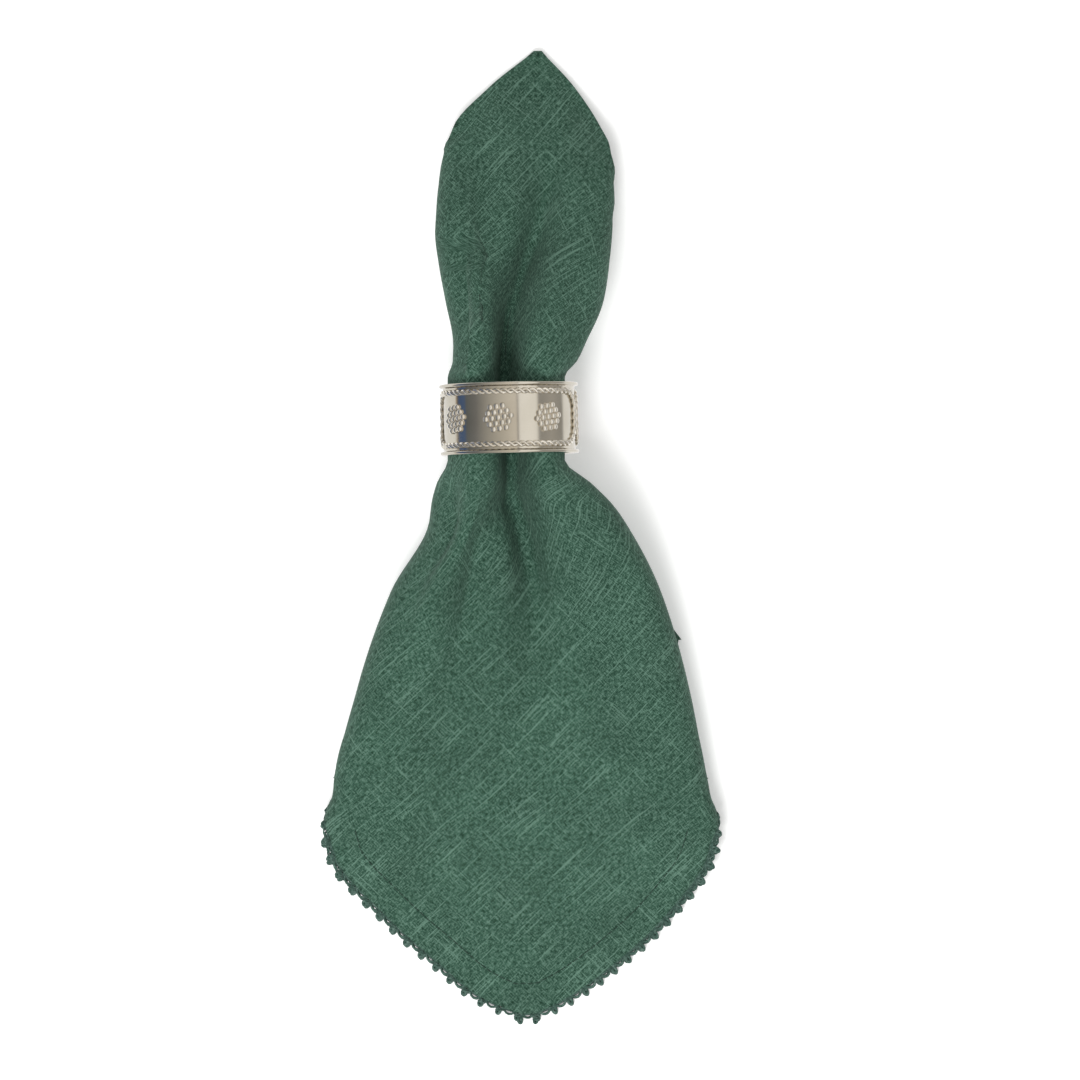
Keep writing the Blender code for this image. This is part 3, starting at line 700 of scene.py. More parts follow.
def build_mesh(name, points, faces):
    """A smooth mesh from points in metres, with its faces turned outwards."""
    mesh = bpy.data.meshes.new(name)
    mesh.from_pydata([tuple(point) for point in points], [], faces)
    form = bmesh.new()
    form.from_mesh(mesh)
    bmesh.ops.recalc_face_normals(form, faces=form.faces)
    form.to_mesh(mesh)
    form.free()
    mesh.shade_smooth()
    return mesh


count = len(right_face.points)
faces = sheet_faces(right_face)
faces += [tuple(number + count for number in face) for face in faces]
edge = [number for number, _, _ in hem]
faces += [(here + count, after + count, after, here) for here, after in zip(edge, edge[1:] + edge[:1])]
napkin_mesh = build_mesh("napkin_cloth", placed(right_face.points + wrong_face.points), faces)
corners = np.empty(len(napkin_mesh.loops), dtype=np.int32)
napkin_mesh.loops.foreach_get("vertex_index", corners)
uv = napkin_mesh.uv_layers.new(name="threads")
uv.data.foreach_set("uv", threads[corners % count].astype(np.float32).ravel())
hem_gap = napkin_mesh.attributes.new("from_hem", "FLOAT", "POINT")
hem_gap.data.foreach_set("value", np.tile(from_hem, 2).astype(np.float32))
napkin = new_object("napkin_cloth", napkin_mesh)
print("Napkin triangles:", sum(len(face) - 2 for face in faces))

# %% [markdown]
# ## Linen
# Linen yarn is uneven: each thread has its own shade, and thick, pale slubs run along it here and there.
# A regular check at this scale would only flicker, so each of the two thread directions gets noise that
# is stretched along the thread, and a fine over-and-under pattern picks which of the two lies on top. The
# same pattern raises the surface. Sheen lifts the edges of the folds, as loose fibres do.


# %% Linen material
def stretched_noise(tree, along, across, length, width, detail):
    """Noise cells as long as a slub along one thread and as wide as a yarn across it."""
    place = add_node(tree, "ShaderNodeCombineXYZ")
    link(tree, calculate(tree, "MULTIPLY", along, 1 / length), place.inputs[0],
         calculate(tree, "MULTIPLY", across, 1 / width), place.inputs[1])
    noise = add_node(tree, "ShaderNodeTexNoise", noise_dimensions="2D", Scale=1.0, Detail=detail)
    link(tree, place.outputs[0], noise.inputs["Vector"])
    return noise.outputs[0]


HEM_WIDTH = 9.6
YARN = 0.00042                # from one thread to the next, in metres, as the flat places are
YARN_CLOUD = 0.0018           # how far a thread keeps its shade
SLUB_WIDTH = 0.0006
linen, tree, shader = new_material("linen_green", Roughness=0.88, Specular_IOR_Level=0.25, Sheen_Weight=0.12,
                                   Sheen_Roughness=0.5, Sheen_Tint=(0.45, 0.62, 0.54, 1.0))
uv_map = add_node(tree, "ShaderNodeUVMap", uv_map="threads")
axes = add_node(tree, "ShaderNodeSeparateXYZ")
link(tree, uv_map.outputs[0], axes.inputs[0])
warp, weft = axes.outputs["X"], axes.outputs["Y"]
warp_yarn = stretched_noise(tree, warp, weft, YARN_CLOUD, YARN, 2.0)
weft_yarn = stretched_noise(tree, weft, warp, YARN_CLOUD, YARN, 2.0)
waves = [calculate(tree, "SINE", calculate(tree, "MULTIPLY", way, math.pi / YARN)) for way in (warp, weft)]
over = calculate(tree, "MULTIPLY_ADD", calculate(tree, "MULTIPLY", *waves), 0.5, 0.5)
yarn = add_node(tree, "ShaderNodeMix")
link(tree, over, yarn.inputs[0], warp_yarn, yarn.inputs[2], weft_yarn, yarn.inputs[3])
slubs = calculate(tree, "MAXIMUM",
                  stretched_noise(tree, weft, warp, 0.026, SLUB_WIDTH, 0.0),
                  calculate(tree, "SUBTRACT",
                            stretched_noise(tree, warp, weft, 0.020, SLUB_WIDTH, 0.0), 0.07))
slub_height = add_node(tree, "ShaderNodeMapRange", From_Min=0.64, From_Max=0.90)
link(tree, slubs, slub_height.inputs[0])
tone = calculate(tree, "MULTIPLY_ADD", slub_height.outputs[0], 0.26, yarn.outputs[0])
colour = grade(tree, tone, ((0.33, (0.011, 0.037, 0.023)), (0.50, (0.039, 0.094, 0.065)),
                            (0.68, (0.112, 0.208, 0.158))))
wash = grade(tree, body_noise(tree, 45.0, 3.0), ((0.3, (0.88, 0.88, 0.88)), (0.7, (1.08, 1.08, 1.08))))
tint = add_node(tree, "ShaderNodeMix", data_type="RGBA", blend_type="MULTIPLY")
tint.inputs[0].default_value = 1.0
link(tree, colour, tint.inputs[6], wash, tint.inputs[7], tint.outputs[2], shader.inputs["Base Color"])
hem_place = add_node(tree, "ShaderNodeAttribute", attribute_name="from_hem")
hem_step = add_node(tree, "ShaderNodeMapRange", interpolation_type="SMOOTHSTEP", From_Min=HEM_WIDTH - 0.8,
                    From_Max=HEM_WIDTH + 0.6, To_Min=1.0, To_Max=0.0)
link(tree, hem_place.outputs["Fac"], hem_step.inputs[0])
relief = calculate(tree, "MULTIPLY_ADD", hem_step.outputs[0], 0.8,
                   calculate(tree, "MULTIPLY_ADD", slub_height.outputs[0], 0.8, yarn.outputs[0]))
raise_surface(tree, shader, relief, 0.55, 0.00022)
napkin_mesh.materials.append(linen)
print("Linen nodes:", len(tree.nodes))

# %% [markdown]
# ## Setting small things out along a line
# The hem's stitches and the lace's motifs both repeat along a line at a fixed pitch. That is a job for
# Geometry Nodes: a line becomes a curve, the curve is cut into even steps, and a small mesh is set on
# each step, turned by the curve's direction and by a sideways direction stored on the line. Realize
# Instances turns the copies into a plain mesh.


# %% Geometry Nodes helpers
def new_tree(name, inputs):
    """A geometry tree with named inputs, and its group input and output nodes."""
    tree = bpy.data.node_groups.new(name, "GeometryNodeTree")
    tree.interface.new_socket("Geometry", in_out="INPUT", socket_type="NodeSocketGeometry")
    for label, kind in inputs:
        tree.interface.new_socket(label, in_out="INPUT", socket_type="NodeSocket" + kind)
    tree.interface.new_socket("Geometry", in_out="OUTPUT", socket_type="NodeSocketGeometry")
    return tree, tree.nodes.new("NodeGroupInput"), tree.nodes.new("NodeGroupOutput")


def grown(name, tree, carrier, values):
    """The mesh that a tree makes on a carrier mesh."""
    thing = new_object(name + "_carrier", carrier)
    modifier = thing.modifiers.new("grow", "NODES")
    modifier.node_group = tree
    names = {item.name: item.identifier for item in tree.interface.items_tree if item.in_out == "INPUT"}
    for label, value in values.items():
        modifier[names[label]] = value
    graph = bpy.context.evaluated_depsgraph_get()
    mesh = bpy.data.meshes.new_from_object(thing.evaluated_get(graph), preserve_all_data_layers=True,
                                           depsgraph=graph)
    bpy.data.objects.remove(thing)
    mesh.name = name
    return mesh


def carrier_line(name, points, directions, closed=False):
    """A line of edges with a direction stored at each point. Points are in millimetres."""
    count = len(points)
    edges = [(spot, (spot + 1) % count) for spot in range(count if closed else count - 1)]
    mesh = bpy.data.meshes.new(name)
    mesh.from_pydata([tuple(point) for point in placed(points)], edges, [])
    mesh.attributes.new("aside", "FLOAT_VECTOR", "POINT").data.foreach_set(
        "vector", np.asarray(directions, dtype=np.float32).ravel())
    return mesh


def joined(name, meshes):
    """Several meshes as one."""
    form = bmesh.new()
    for mesh in meshes:
        form.from_mesh(mesh)
    whole = bpy.data.meshes.new(name)
    form.to_mesh(whole)
    form.free()
    return whole


# %% Tree that sets motifs out along a line
along_tree, source, result = new_tree("set_out_along_line", (
    ("Motif", "Object"), ("Pitch", "Float"), ("Material", "Material")))
curve = add_node(along_tree, "GeometryNodeMeshToCurve")
steps = add_node(along_tree, "GeometryNodeResampleCurve", mode="LENGTH")
tangent = add_node(along_tree, "GeometryNodeInputTangent")
aside = add_node(along_tree, "GeometryNodeInputNamedAttribute", data_type="FLOAT_VECTOR", Name="aside")
axes = add_node(along_tree, "FunctionNodeAxesToRotation", primary_axis="X", secondary_axis="Y")
motif = add_node(along_tree, "GeometryNodeObjectInfo")
copies = add_node(along_tree, "GeometryNodeInstanceOnPoints")
real = add_node(along_tree, "GeometryNodeRealizeInstances")
finish = add_node(along_tree, "GeometryNodeSetMaterial")
link(along_tree, source.outputs["Geometry"], curve.inputs[0], curve.outputs[0], steps.inputs["Curve"],
     source.outputs["Pitch"], steps.inputs["Length"], steps.outputs[0], copies.inputs["Points"],
     source.outputs["Motif"], motif.inputs[0], motif.outputs["Geometry"], copies.inputs["Instance"],
     tangent.outputs[0], axes.inputs[0], aside.outputs["Attribute"], axes.inputs[1],
     axes.outputs[0], copies.inputs["Rotation"], copies.outputs[0], real.inputs[0],
     real.outputs[0], finish.inputs[0], source.outputs["Material"], finish.inputs["Material"],
     finish.outputs[0], result.inputs[0])
print("Tree nodes:", len(along_tree.nodes))


# %% Tubes for threads
def tube(points, radii, sides, closed=False):
    """Points and faces of a tube along points, in millimetres. radii: one (wide, high) pair a point."""
    points = np.asarray(points, dtype=float)
    count = len(points)
    spots, faces = [], []
    for number, (point, (wide, high)) in enumerate(zip(points, radii)):
        before = points[number - 1] if closed or number else point
        after = points[(number + 1) % count] if closed or number < count - 1 else point
        way = (after - before) / np.linalg.norm(after - before)
        level = np.cross((0.0, 0.0, 1.0), way)
        level /= np.linalg.norm(level)
        rise = np.cross(way, level)
        for side in range(sides):
            turn = 2 * math.pi * side / sides
            spots.append(point + wide * math.cos(turn) * level + high * math.sin(turn) * rise)
    for number in range(count if closed else count - 1):
        here, after = number * sides, (number + 1) % count * sides
        faces += [(here + side, here + (side + 1) % sides, after + (side + 1) % sides, after + side)
                  for side in range(sides)]
    if not closed:
        faces += [tuple(range(sides))[::-1], tuple(range((count - 1) * sides, count * sides))]
    return spots, faces


def motif_object(name, tubes):
    """A helper object made of tubes, in metres, for a tree to copy."""
    spots, faces = [], []
    for points, tube_faces in tubes:
        faces += [tuple(len(spots) + number for number in face) for face in tube_faces]
        spots += list(points)
    return new_object(name, build_mesh(name, MM * np.array(spots), faces))


# %% [markdown]
# ## Crocheted edging
# The hem is covered by a chain of loops in cotton thread. Each repeat has a low arc over a narrow gap
# and, where two arcs meet, a small knot of crossed threads with a picot that points outwards. One repeat
# is a few bent tubes, and the tree above sets it along the lower hem of all four layers, from side
# corner to side corner. Each layer has the same number of repeats, so the motifs lie in step.

# %% Lace motif
LACE_PITCH = 6.35
LACE_REACH = 3.4
LACE_LOW = 0.6                # the edging lies on the table, never in it
LACE_TOP = -131.0             # and ends at the side corners
LACE_FLOOR = 0.05
THREAD = 0.36


def bent(outline, radius, sides=5):
    return tube(outline, [(radius, radius * 0.9)] * len(outline), sides)


half = LACE_PITCH / 2
arc = [(-half, 0.55, 0.0), (-half + 1.5, 0.58, 0.05), (-half + 2.1, 1.2, 0.1), (-half + 3.1, 1.55, 0.05),
       (-half + 4.1, 1.3, 0.0), (-half + 4.8, 0.7, 0.05), (half, 0.5, 0.0)]
edge_chain = [(half * share, 0.12, 0.12 * math.sin(9 * share)) for share in np.linspace(-1, 1, 6)]
picot = [(-half + 0.62 * math.sin(turn) - 0.1, 1.75 - 0.95 * math.cos(turn), 0.15)
         for turn in np.linspace(0.3, 2 * math.pi - 0.3, 10)]
cross_one = [(-half - 1.2, 0.7, 0.2), (-half - 0.5, 1.15, 0.62), (-half + 0.35, 1.35, 0.66),
             (-half + 0.9, 1.7, 0.2)]
cross_two = [(-half + 1.2, 0.75, 0.0), (-half + 0.55, 1.0, 0.5), (-half - 0.3, 1.5, 0.5),
             (-half - 0.8, 1.7, 0.1)]
knot = [(-half - 0.6, 0.45, 0.1), (-half, 0.7, 0.55), (-half + 0.6, 0.45, 0.1)]
lace_motif = motif_object("lace_motif", (
    bent(arc, 0.31, 6), bent(edge_chain, 0.30), bent(picot, 0.44, 6), bent(cross_one, THREAD),
    bent(cross_two, THREAD), bent(knot, 0.36)))
print("Lace motif faces:", len(lace_motif.data.polygons))


# %% Lace round the hem
def outward_directions(points):
    """Directions away from the cloth at each point of the hem, square to the edge."""
    outward = []
    for spot, (number, inner, place) in enumerate(hem):
        away = points[number] - points[inner]
        if place == "fold":
            away = away + (0.0, -0.6 * np.linalg.norm(away), 0.0)
        along = points[hem[(spot + 1) % len(hem)][0]] - points[hem[spot - 1][0]]
        along = along / np.linalg.norm(along)
        if place == "side":
            away = away - along * np.dot(away, along)
        if place == "corner":
            away[2] = 0.0
        outward.append(away / np.linalg.norm(away))
    outward = np.array(outward)
    lowest = (LACE_LOW - points[[number for number, _, _ in hem], 2]) / LACE_REACH
    outward[:, 2] = np.maximum(outward[:, 2], lowest)
    for _ in range(3):
        outward = outward + np.roll(outward, 1, axis=0) + np.roll(outward, -1, axis=0)
        outward /= np.linalg.norm(outward, axis=1)[:, None]
    return outward


middle_points = np.array(middle_face.points)
outward = outward_directions(middle_points)
hem_points = middle_points[edge]
thread_material, tree, shader = new_material(
    "lace_cotton", Roughness=0.8, Specular_IOR_Level=0.3, Sheen_Weight=0.3, Sheen_Tint=(0.5, 0.68, 0.62, 1.0))


def steps_to_corner(line):
    """How many points of a line come before it rises past the side corners."""
    return next((step for step, spot in enumerate(line) if hem_points[spot][1] > LACE_TOP), len(line))


def edging_lines():
    """Two lines from each layer's tip to its side corners, all with the same number of points."""
    quarter = np.flatnonzero([place == "corner" for _, _, place in hem])
    tips = quarter.reshape(4, WIDTH)[:, WIDTH // 2]
    ends = [0] + [int((before + after) / 2) for before, after in zip(tips, tips[1:])] + [len(hem) - 1]
    leftward = [range(tip, end - 1, -1) for tip, end in zip(tips, ends)]
    rightward = [range(tip, end + 1) for tip, end in zip(tips, ends[1:])]
    for lines in (leftward, rightward):
        shared = min(steps_to_corner(line) for line in lines)
        yield from (line[:shared] for line in lines)


lace_meshes = []
edgings = [list(line) for line in edging_lines()]
lengths = np.array([np.sum(np.linalg.norm(np.diff(hem_points[line], axis=0), axis=1)) for line in edgings])
for number, line in enumerate(edgings):
    side = number // 4 * 4
    repeats = round(np.mean(lengths[side:side + 4]) / LACE_PITCH)
    lace_meshes.append(grown("lace", along_tree, carrier_line("hem_line", hem_points[line], outward[line]),
                             {"Motif": lace_motif, "Pitch": lengths[number] / repeats * 0.999 * MM,
                              "Material": thread_material}))
print("Edging lines, mm:", [round(float(length), 1) for length in lengths])
lace_mesh = joined("lace", lace_meshes)
spots = np.empty(3 * len(lace_mesh.vertices))
lace_mesh.vertices.foreach_get("co", spots)
spots[2::3] = np.maximum(spots[2::3], LACE_FLOOR * MM)
lace_mesh.vertices.foreach_set("co", spots)
lace_mesh.materials.append(thread_material)
lace_mesh.shade_smooth()
lace = new_object("lace", lace_mesh)
bpy.data.objects.remove(lace_motif)
print("Lace faces:", len(lace_mesh.polygons))

# %% [markdown]
# ### Cotton thread
# The edging's thread is a little darker and bluer than the linen, with paler fibres here and there.

# %% Lace material
fibre = body_noise(tree, 900.0, 2.0)
link(tree, grade(tree, fibre, ((0.32, (0.026, 0.060, 0.046)), (0.55, (0.055, 0.110, 0.088)),
                               (0.72, (0.13, 0.20, 0.17)))), shader.inputs["Base Color"])
raise_surface(tree, shader, fibre, 0.6, 0.0002)
print("Lace material:", thread_material.name)

# %% [markdown]
# ## Hem stitches
# A line of small running stitches holds the turned-in hem. Its line is where the distance to the hem
# reaches the hem's width, found along each section of the two layers that show, on the front, the back
# and the flaps, and the tree sets a short, flat stitch at every step.

# %% Stitch lines
STITCH_PITCH = 2.6


def stitch_line(seam):
    """Points and inward directions of the stitch line on one layer's ends, between two stations."""
    spots = np.array(right_face.points)
    sides = []
    for end in seam.ends:
        line, inward = [], []
        for number in np.flatnonzero((stations < seam.first) & (stations > seam.last)):
            ids = np.array(right_face.layers[number][seam.layer])
            ids = ids if end == 0 else ids[::-1]
            gaps = from_hem[ids]
            reached = np.argmax(gaps >= HEM_WIDTH)
            if reached == 0 or reached > WIDTH // 2:
                continue
            share = (HEM_WIDTH - gaps[reached - 1]) / (gaps[reached] - gaps[reached - 1])
            step = spots[ids[reached]] - spots[ids[reached - 1]]
            flat_way = step[[0, 2]] / np.linalg.norm(step[[0, 2]])
            normal = np.array((-flat_way[1], 0.0, flat_way[0])) * (1 if end == 0 else -1)
            line.append(spots[ids[reached - 1]] + share * step + seam.lift * normal)
            inward.append(step / np.linalg.norm(step))
        sides.append((line, inward))
    if len(sides) == 1:
        return np.array(sides[0][0]), np.array(sides[0][1])
    (left, left_in), (right, right_in) = sides
    return np.array(left + right[::-1]), np.array(left_in + right_in[::-1])


stitch_path = [(-1.0, 0.0, -0.05), (-0.5, 0.0, 0.1), (0.5, 0.0, 0.1), (1.0, 0.0, -0.05)]
stitch = motif_object("stitch", (bent(stitch_path, 0.17),))
stitch_thread, tree, shader = new_material("stitch_thread", Roughness=0.8)
Seam = namedtuple("Seam", "layer lift ends first last")
SEAMS = (Seam(0, 0.05, (0, -1), -145, -999), Seam(3, -0.05, (0, -1), -150, -999),
         Seam(0, 0.05, (0,), -44, -126), Seam(0, 0.05, (-1,), -44, -126))
stitch_meshes = []
for seam in SEAMS:
    points, inward = stitch_line(seam)
    inward = inward if seam.layer == 0 else -inward
    stitch_meshes.append(grown("stitches", along_tree, carrier_line("stitch_line", points, inward),
                               {"Motif": stitch, "Pitch": STITCH_PITCH * MM, "Material": stitch_thread}))
stitches = new_object("hem_stitches", joined("hem_stitches", stitch_meshes))
stitches.data.materials.append(stitch_thread)
stitches.data.shade_smooth()
bpy.data.objects.remove(stitch)
link(tree, grade(tree, body_noise(tree, 1200.0, 1.0),
                 ((0.3, (0.012, 0.030, 0.022)), (0.7, (0.035, 0.075, 0.055)))), shader.inputs["Base Color"])
print("Stitch faces:", len(stitches.data.polygons))

# %% [markdown]
# ## The ring
# The band is a plain turned hoop with a round rim rolled up at each end. A turned part is a profile
# carried round an axis, so it is built that way. The ring sits a little askew on the cloth.

# %% Ring body
BAND_RADIUS = 22.95
BAND_INNER = 22.2
RING_HALF = 12.3
RIM_ROLL = 0.62
RING_SKEW = math.radians(1.3)
SEGMENTS = 192


def on_ring(arc, along, height):
    """Point on the ring: arc in millimetres from the top rightwards, along its axis, above the band."""
    angle = arc / BAND_RADIUS
    radius = BAND_RADIUS + height
    x, y, z = radius * math.sin(angle), along, AXIS_HEIGHT + radius * math.cos(angle)
    return (x * math.cos(RING_SKEW) - y * math.sin(RING_SKEW),
            x * math.sin(RING_SKEW) + y * math.cos(RING_SKEW), z)


def rim_profile():
    """Half of the band's section, from the middle of the outside round the rim to the inside."""
    roll_height = RIM_RADIUS - BAND_RADIUS - RIM_ROLL
    roll_along = RING_HALF - RIM_ROLL
    points = [(0.0, 0.0), (5.0, 0.0), (9.5, 0.0), (10.6, 0.0), (10.85, 0.04), (10.98, 0.2)]
    for degrees in range(200, -61, -20):
        turn = math.radians(degrees)
        points.append((roll_along + RIM_ROLL * math.cos(turn), roll_height + RIM_ROLL * math.sin(turn)))
    inner = BAND_INNER - BAND_RADIUS
    points += [(RING_HALF - 0.1, -0.2), (RING_HALF - 0.15, inner + 0.15), (RING_HALF - 0.4, inner),
               (6.0, inner)]
    return points


half_profile = rim_profile()
profile = half_profile + [(0.0, BAND_INNER - BAND_RADIUS)] + [(-y, h) for y, h in half_profile[:0:-1]]
points = [on_ring(2 * math.pi * BAND_RADIUS * segment / SEGMENTS, along, height)
          for segment in range(SEGMENTS) for along, height in profile]
size = len(profile)
faces = [(segment * size + spot, segment * size + (spot + 1) % size,
          (segment + 1) % SEGMENTS * size + (spot + 1) % size, (segment + 1) % SEGMENTS * size + spot)
         for segment in range(SEGMENTS) for spot in range(size)]
ring_mesh = build_mesh("ring_body", placed(points), faces)
ring_body = new_object("ring_body", ring_mesh)
print("Profile points:", size, "faces", len(faces))

# %% [markdown]
# ## Rope frames
# Two long frames of twisted wire are soldered to the band, one on the front and one on the back. Two
# strands wind round one route: the tree moves the route's points out in a small ellipse whose angle grows
# with the way along it, once for each strand, and sweeps a circle along both.

# %% Tree for a twisted rope
rope_tree, source, result = new_tree("twisted_rope", (
    ("Step", "Float"), ("Twist", "Float"), ("Swing", "Float"), ("Rise", "Float"), ("Strand", "Float"),
    ("Material", "Material")))
curve = add_node(rope_tree, "GeometryNodeMeshToCurve")
steps = add_node(rope_tree, "GeometryNodeResampleCurve", mode="LENGTH")
up = add_node(rope_tree, "GeometryNodeInputNamedAttribute", data_type="FLOAT_VECTOR", Name="aside")
tangent = add_node(rope_tree, "GeometryNodeInputTangent")
level = add_node(rope_tree, "ShaderNodeVectorMath", operation="CROSS_PRODUCT")
travelled = add_node(rope_tree, "GeometryNodeSplineParameter")
phase = calculate(rope_tree, "MULTIPLY", travelled.outputs["Length"], source.outputs["Twist"])
swing = calculate(rope_tree, "MULTIPLY", calculate(rope_tree, "COSINE", phase), source.outputs["Swing"])
rise = calculate(rope_tree, "MULTIPLY", calculate(rope_tree, "SINE", phase), source.outputs["Rise"])
out_level = add_node(rope_tree, "ShaderNodeVectorMath", operation="SCALE")
out_rise = add_node(rope_tree, "ShaderNodeVectorMath", operation="SCALE")
shift = add_node(rope_tree, "ShaderNodeVectorMath", operation="ADD")
section = add_node(rope_tree, "GeometryNodeCurvePrimitiveCircle", Resolution=8)
both = add_node(rope_tree, "GeometryNodeJoinGeometry")
smooth = add_node(rope_tree, "GeometryNodeSetShadeSmooth")
real = add_node(rope_tree, "GeometryNodeRealizeInstances")
finish = add_node(rope_tree, "GeometryNodeSetMaterial")
link(rope_tree, source.outputs["Geometry"], curve.inputs[0], curve.outputs[0], steps.inputs["Curve"],
     source.outputs["Step"], steps.inputs["Length"], up.outputs["Attribute"], level.inputs[0],
     tangent.outputs[0], level.inputs[1], level.outputs[0], out_level.inputs[0],
     swing, out_level.inputs["Scale"],
     up.outputs["Attribute"], out_rise.inputs[0], rise, out_rise.inputs["Scale"],
     out_level.outputs[0], shift.inputs[0], out_rise.outputs[0], shift.inputs[1],
     source.outputs["Strand"], section.inputs["Radius"])
for sign in (1.0, -1.0):
    way = add_node(rope_tree, "ShaderNodeVectorMath", operation="SCALE", Scale=sign)
    moved = add_node(rope_tree, "GeometryNodeSetPosition")
    swept = add_node(rope_tree, "GeometryNodeCurveToMesh")
    link(rope_tree, shift.outputs[0], way.inputs[0], steps.outputs[0], moved.inputs[0],
         way.outputs[0], moved.inputs["Offset"], moved.outputs[0], swept.inputs[0],
         section.outputs[0], swept.inputs[1], swept.outputs[0], both.inputs[0])
link(rope_tree, both.outputs[0], smooth.inputs[0], smooth.outputs[0], real.inputs[0],
     real.outputs[0], finish.inputs[0], source.outputs["Material"], finish.inputs["Material"],
     finish.outputs[0], result.inputs[0])
print("Rope tree nodes:", len(rope_tree.nodes))

# %% Ropes
ROPE_OFFSET = 9.1
ROPE_SPAN = math.radians(84)
ROPE_CORNER = 7.0
ROPE_LIFT = 0.52
RING_TURN = math.radians(9)   # the front frame's middle lies left of the top
STRAND_REPEAT = 2.5


def rope_route(middle):
    """The middle line of one frame as (arc, along) points."""
    straight = ROPE_SPAN * BAND_RADIUS - ROPE_CORNER
    rise = ROPE_OFFSET - ROPE_CORNER
    route = []
    for side_x, side_y, start in ((1, 1, 90), (1, -1, 0), (-1, -1, -90), (-1, 1, 180)):
        for degrees in range(0, 90, 5):
            turn = math.radians(start - degrees)
            route.append((middle + side_x * straight + ROPE_CORNER * math.cos(turn),
                          side_y * rise + ROPE_CORNER * math.sin(turn)))
        if side_x != side_y:
            shares = np.linspace(-1, 1, 110, endpoint=False)
            route += [(middle + side_y * straight * share, side_y * ROPE_OFFSET) for share in shares]
    return route


def ring_up(arc):
    angle = arc / BAND_RADIUS
    x, z = math.sin(angle), math.cos(angle)
    return (x * math.cos(RING_SKEW), x * math.sin(RING_SKEW), z)


trim_metal, trim_tree, trim_shader = new_material("trim_nickel")
rope_meshes = []
for angle in (-RING_TURN, math.pi - RING_TURN):
    route = rope_route(angle * BAND_RADIUS)
    points = np.array([on_ring(arc, along, ROPE_LIFT) for arc, along in route])
    length = float(np.sum(np.linalg.norm(np.diff(points, axis=0, append=points[:1]), axis=1)))
    turns = round(length / (2 * STRAND_REPEAT))
    carrier = carrier_line("rope_route", points, [ring_up(arc) for arc, _ in route], closed=True)
    rope_meshes.append(grown("rope", rope_tree, carrier, {
        "Step": 0.36 * MM, "Twist": 2 * math.pi * turns / (length * MM), "Swing": 0.58 * MM,
        "Rise": 0.22 * MM, "Strand": 0.53 * MM, "Material": trim_metal}))
    print("Rope length, mm:", round(length, 1), "turns", turns)

# %% [markdown]
# ## Rosettes of granules
# Nineteen small balls packed in a hexagon make each rosette, on a thin round base. They repeat, so a tree
# sets an ico sphere on each of the hexagon's places and flattens it a little against the band.

# %% Tree for granules
bead_tree, source, result = new_tree("granules", (
    ("Radius", "Float"), ("Squash", "Float"), ("Material", "Material")))
ball = add_node(bead_tree, "GeometryNodeMeshIcoSphere", Subdivisions=3)
up = add_node(bead_tree, "GeometryNodeInputNamedAttribute", data_type="FLOAT_VECTOR", Name="aside")
turned = add_node(bead_tree, "FunctionNodeAlignRotationToVector", axis="Z")
scale = add_node(bead_tree, "ShaderNodeCombineXYZ", X=1.0, Y=1.0)
copies = add_node(bead_tree, "GeometryNodeInstanceOnPoints")
real = add_node(bead_tree, "GeometryNodeRealizeInstances")
smooth = add_node(bead_tree, "GeometryNodeSetShadeSmooth")
finish = add_node(bead_tree, "GeometryNodeSetMaterial")
link(bead_tree, source.outputs["Geometry"], copies.inputs["Points"],
     source.outputs["Radius"], ball.inputs["Radius"],
     ball.outputs[0], copies.inputs["Instance"], up.outputs["Attribute"], turned.inputs["Vector"],
     turned.outputs[0], copies.inputs["Rotation"], source.outputs["Squash"], scale.inputs["Z"],
     scale.outputs[0], copies.inputs["Scale"], copies.outputs[0], smooth.inputs[0],
     smooth.outputs[0], real.inputs[0], real.outputs[0], finish.inputs[0],
     source.outputs["Material"], finish.inputs["Material"], finish.outputs[0], result.inputs[0])

# %% Granules
BEAD_PITCH = 2.2
BEAD_TURN = math.radians(8)   # the hexagons sit a little turned
BEAD_RADIUS = 1.11
BEAD_LIFT = 0.3
BASE_SIDES = 24
BASE_TOP = 0.32
BASE_RINGS = ((4.4, BASE_TOP), (4.6, 0.15), (4.6, -0.05))   # radius, height above the band
ROSETTE_STEP = math.radians(45)
places, ups, base_points, base_faces = [], [], [], []
for angle in (-RING_TURN, math.pi - RING_TURN):
    for step in (-1, 0, 1):
        middle = (angle + step * ROSETTE_STEP) * BAND_RADIUS
        for row in range(-2, 3):
            for spot in range(5 - abs(row)):
                x, y = (spot - (4 - abs(row)) / 2) * BEAD_PITCH, row * BEAD_PITCH * math.sqrt(0.75)
                arc = middle + x * math.cos(BEAD_TURN) - y * math.sin(BEAD_TURN)
                places.append(on_ring(arc, x * math.sin(BEAD_TURN) + y * math.cos(BEAD_TURN), BEAD_LIFT))
                ups.append(ring_up(arc))
        centre = len(base_points)
        base_points.append(on_ring(middle, 0.0, BASE_TOP))
        for radius, height in BASE_RINGS:
            base_points += [on_ring(middle + radius * math.cos(turn), radius * math.sin(turn), height)
                            for turn in np.arange(BASE_SIDES) * 2 * math.pi / BASE_SIDES]
        rings = [[centre + 1 + ring * BASE_SIDES + part for part in range(BASE_SIDES)]
                 for ring in range(len(BASE_RINGS))]
        for part, after in zip(range(BASE_SIDES), [*range(1, BASE_SIDES), 0]):
            base_faces.append((centre, rings[0][part], rings[0][after]))
            base_faces += [(upper[part], lower[part], lower[after], upper[after])
                           for upper, lower in zip(rings, rings[1:])]
        base_faces.append(tuple(rings[-1]))
carrier = bpy.data.meshes.new("granule_places")
carrier.from_pydata([tuple(point) for point in placed(places)], [], [])
carrier.attributes.new("aside", "FLOAT_VECTOR", "POINT").data.foreach_set(
    "vector", np.array(ups, dtype=np.float32).ravel())
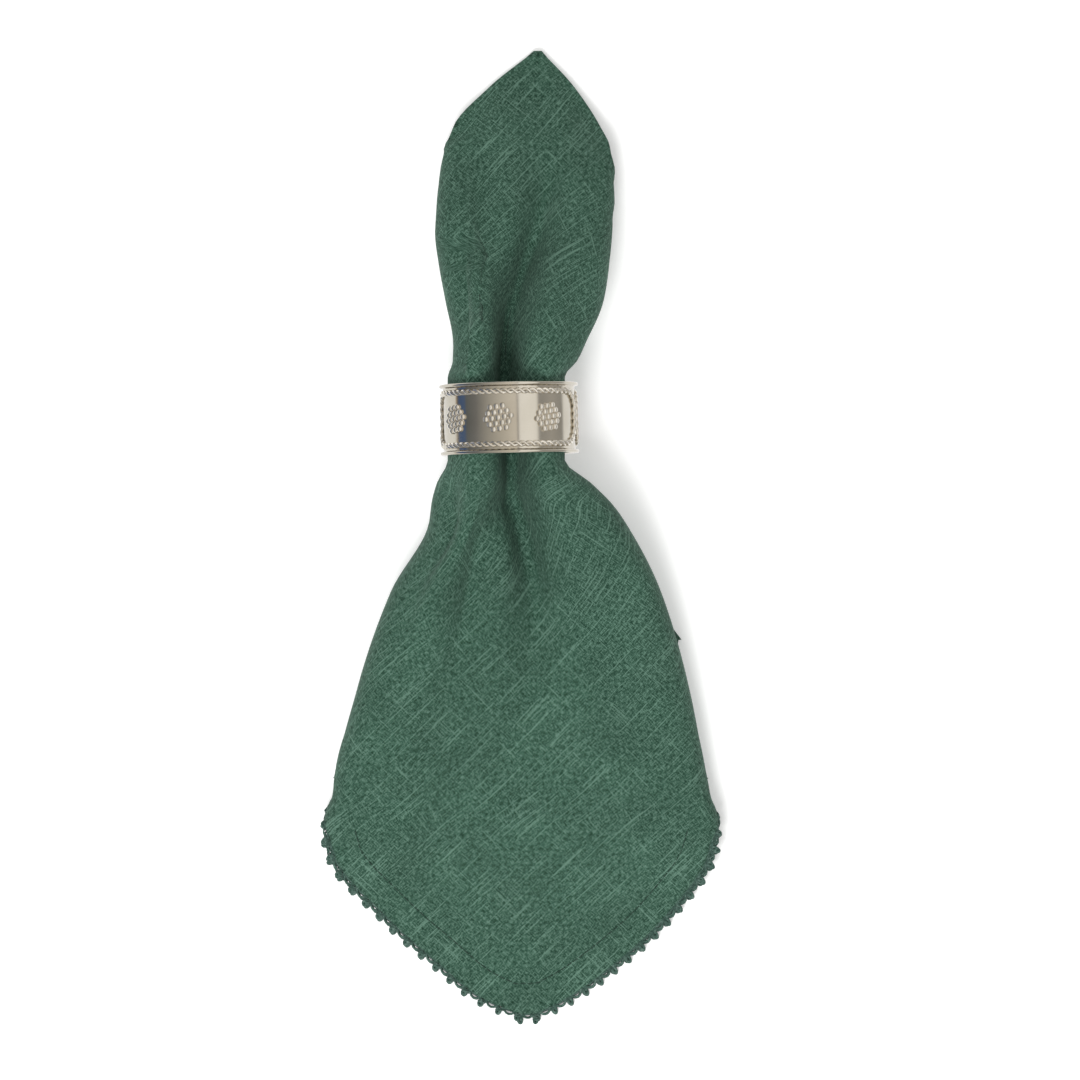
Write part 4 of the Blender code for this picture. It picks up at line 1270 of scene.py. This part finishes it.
bead_mesh = grown("granules", bead_tree, carrier, {
    "Radius": BEAD_RADIUS * MM, "Squash": 0.85, "Material": trim_metal})
base_mesh = build_mesh("rosette_bases", placed(base_points), base_faces)
ropes = new_object("ring_ropes", joined("ring_ropes", rope_meshes))
rosettes = new_object("ring_rosettes", joined("ring_rosettes", [bead_mesh, base_mesh]))
for piece in (ropes, rosettes):
    piece.data.materials.append(trim_metal)
    piece.data.shade_smooth()
print("Granules:", len(places), "faces", len(rosettes.data.polygons), len(ropes.data.polygons))

# %% [markdown]
# ## Nickel
# The band is polished plate: nearly a mirror, warm, with fine brush marks round it and the faint
# cloudiness of handling. The trim is the same metal, paler and a little rougher.


# %% Metals
def plated(tree, shader, dark, light, rough, speckle):
    """Warm plate whose colour and polish vary a little over the surface."""
    shader.inputs["Metallic"].default_value = 1.0
    cloud = body_noise(tree, speckle, 4.0)
    link(tree, grade(tree, cloud, ((0.3, dark), (0.7, light))), shader.inputs["Base Color"])
    polish = add_node(tree, "ShaderNodeMapRange", From_Min=0.3, From_Max=0.7,
                      To_Min=rough[0], To_Max=rough[1])
    link(tree, cloud, polish.inputs[0], polish.outputs[0], shader.inputs["Roughness"])


band_metal, tree, shader = new_material("band_nickel")
plated(tree, shader, (0.63, 0.59, 0.51), (0.70, 0.66, 0.58), (0.10, 0.17), 90.0)
plated(trim_tree, trim_shader, (0.78, 0.74, 0.66), (0.93, 0.89, 0.82), (0.12, 0.22), 400.0)
body = add_node(tree, "ShaderNodeTexCoord")
stretch = add_node(tree, "ShaderNodeMapping", Scale=(60.0, 2600.0, 60.0))
brushed = add_node(tree, "ShaderNodeTexNoise", Scale=1.0, Detail=2.0)
link(tree, body.outputs["Object"], stretch.inputs[0], stretch.outputs[0], brushed.inputs["Vector"])
raise_surface(tree, shader, brushed.outputs[0], 0.05, 0.00005)
ring_mesh.materials.append(band_metal)
print("Metals:", band_metal.name, trim_metal.name)

# %% [markdown]
# ## Which piece stands for which part
# Every piece rides on the one body of the imported model and hides the plain solid that it stands for.

# %% Pieces
for piece, nodes, slot in (
        (napkin, ("napkin",), "linen"),
        (stitches, (), "linen"),
        (lace, tuple(f"lace_edging_{number}" for number in range(1, 5)), "lace"),
        (ring_body, ("ring_band", "ring_rim_upper", "ring_rim_lower"), "ring_metal"),
        (ropes, ("ring_rope_front", "ring_rope_back"), "ring_trim"),
        (rosettes, tuple(f"ring_rosette_{number}" for number in range(1, 7)), "ring_trim")):
    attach(piece, "root")
    if nodes:
        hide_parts(*nodes)
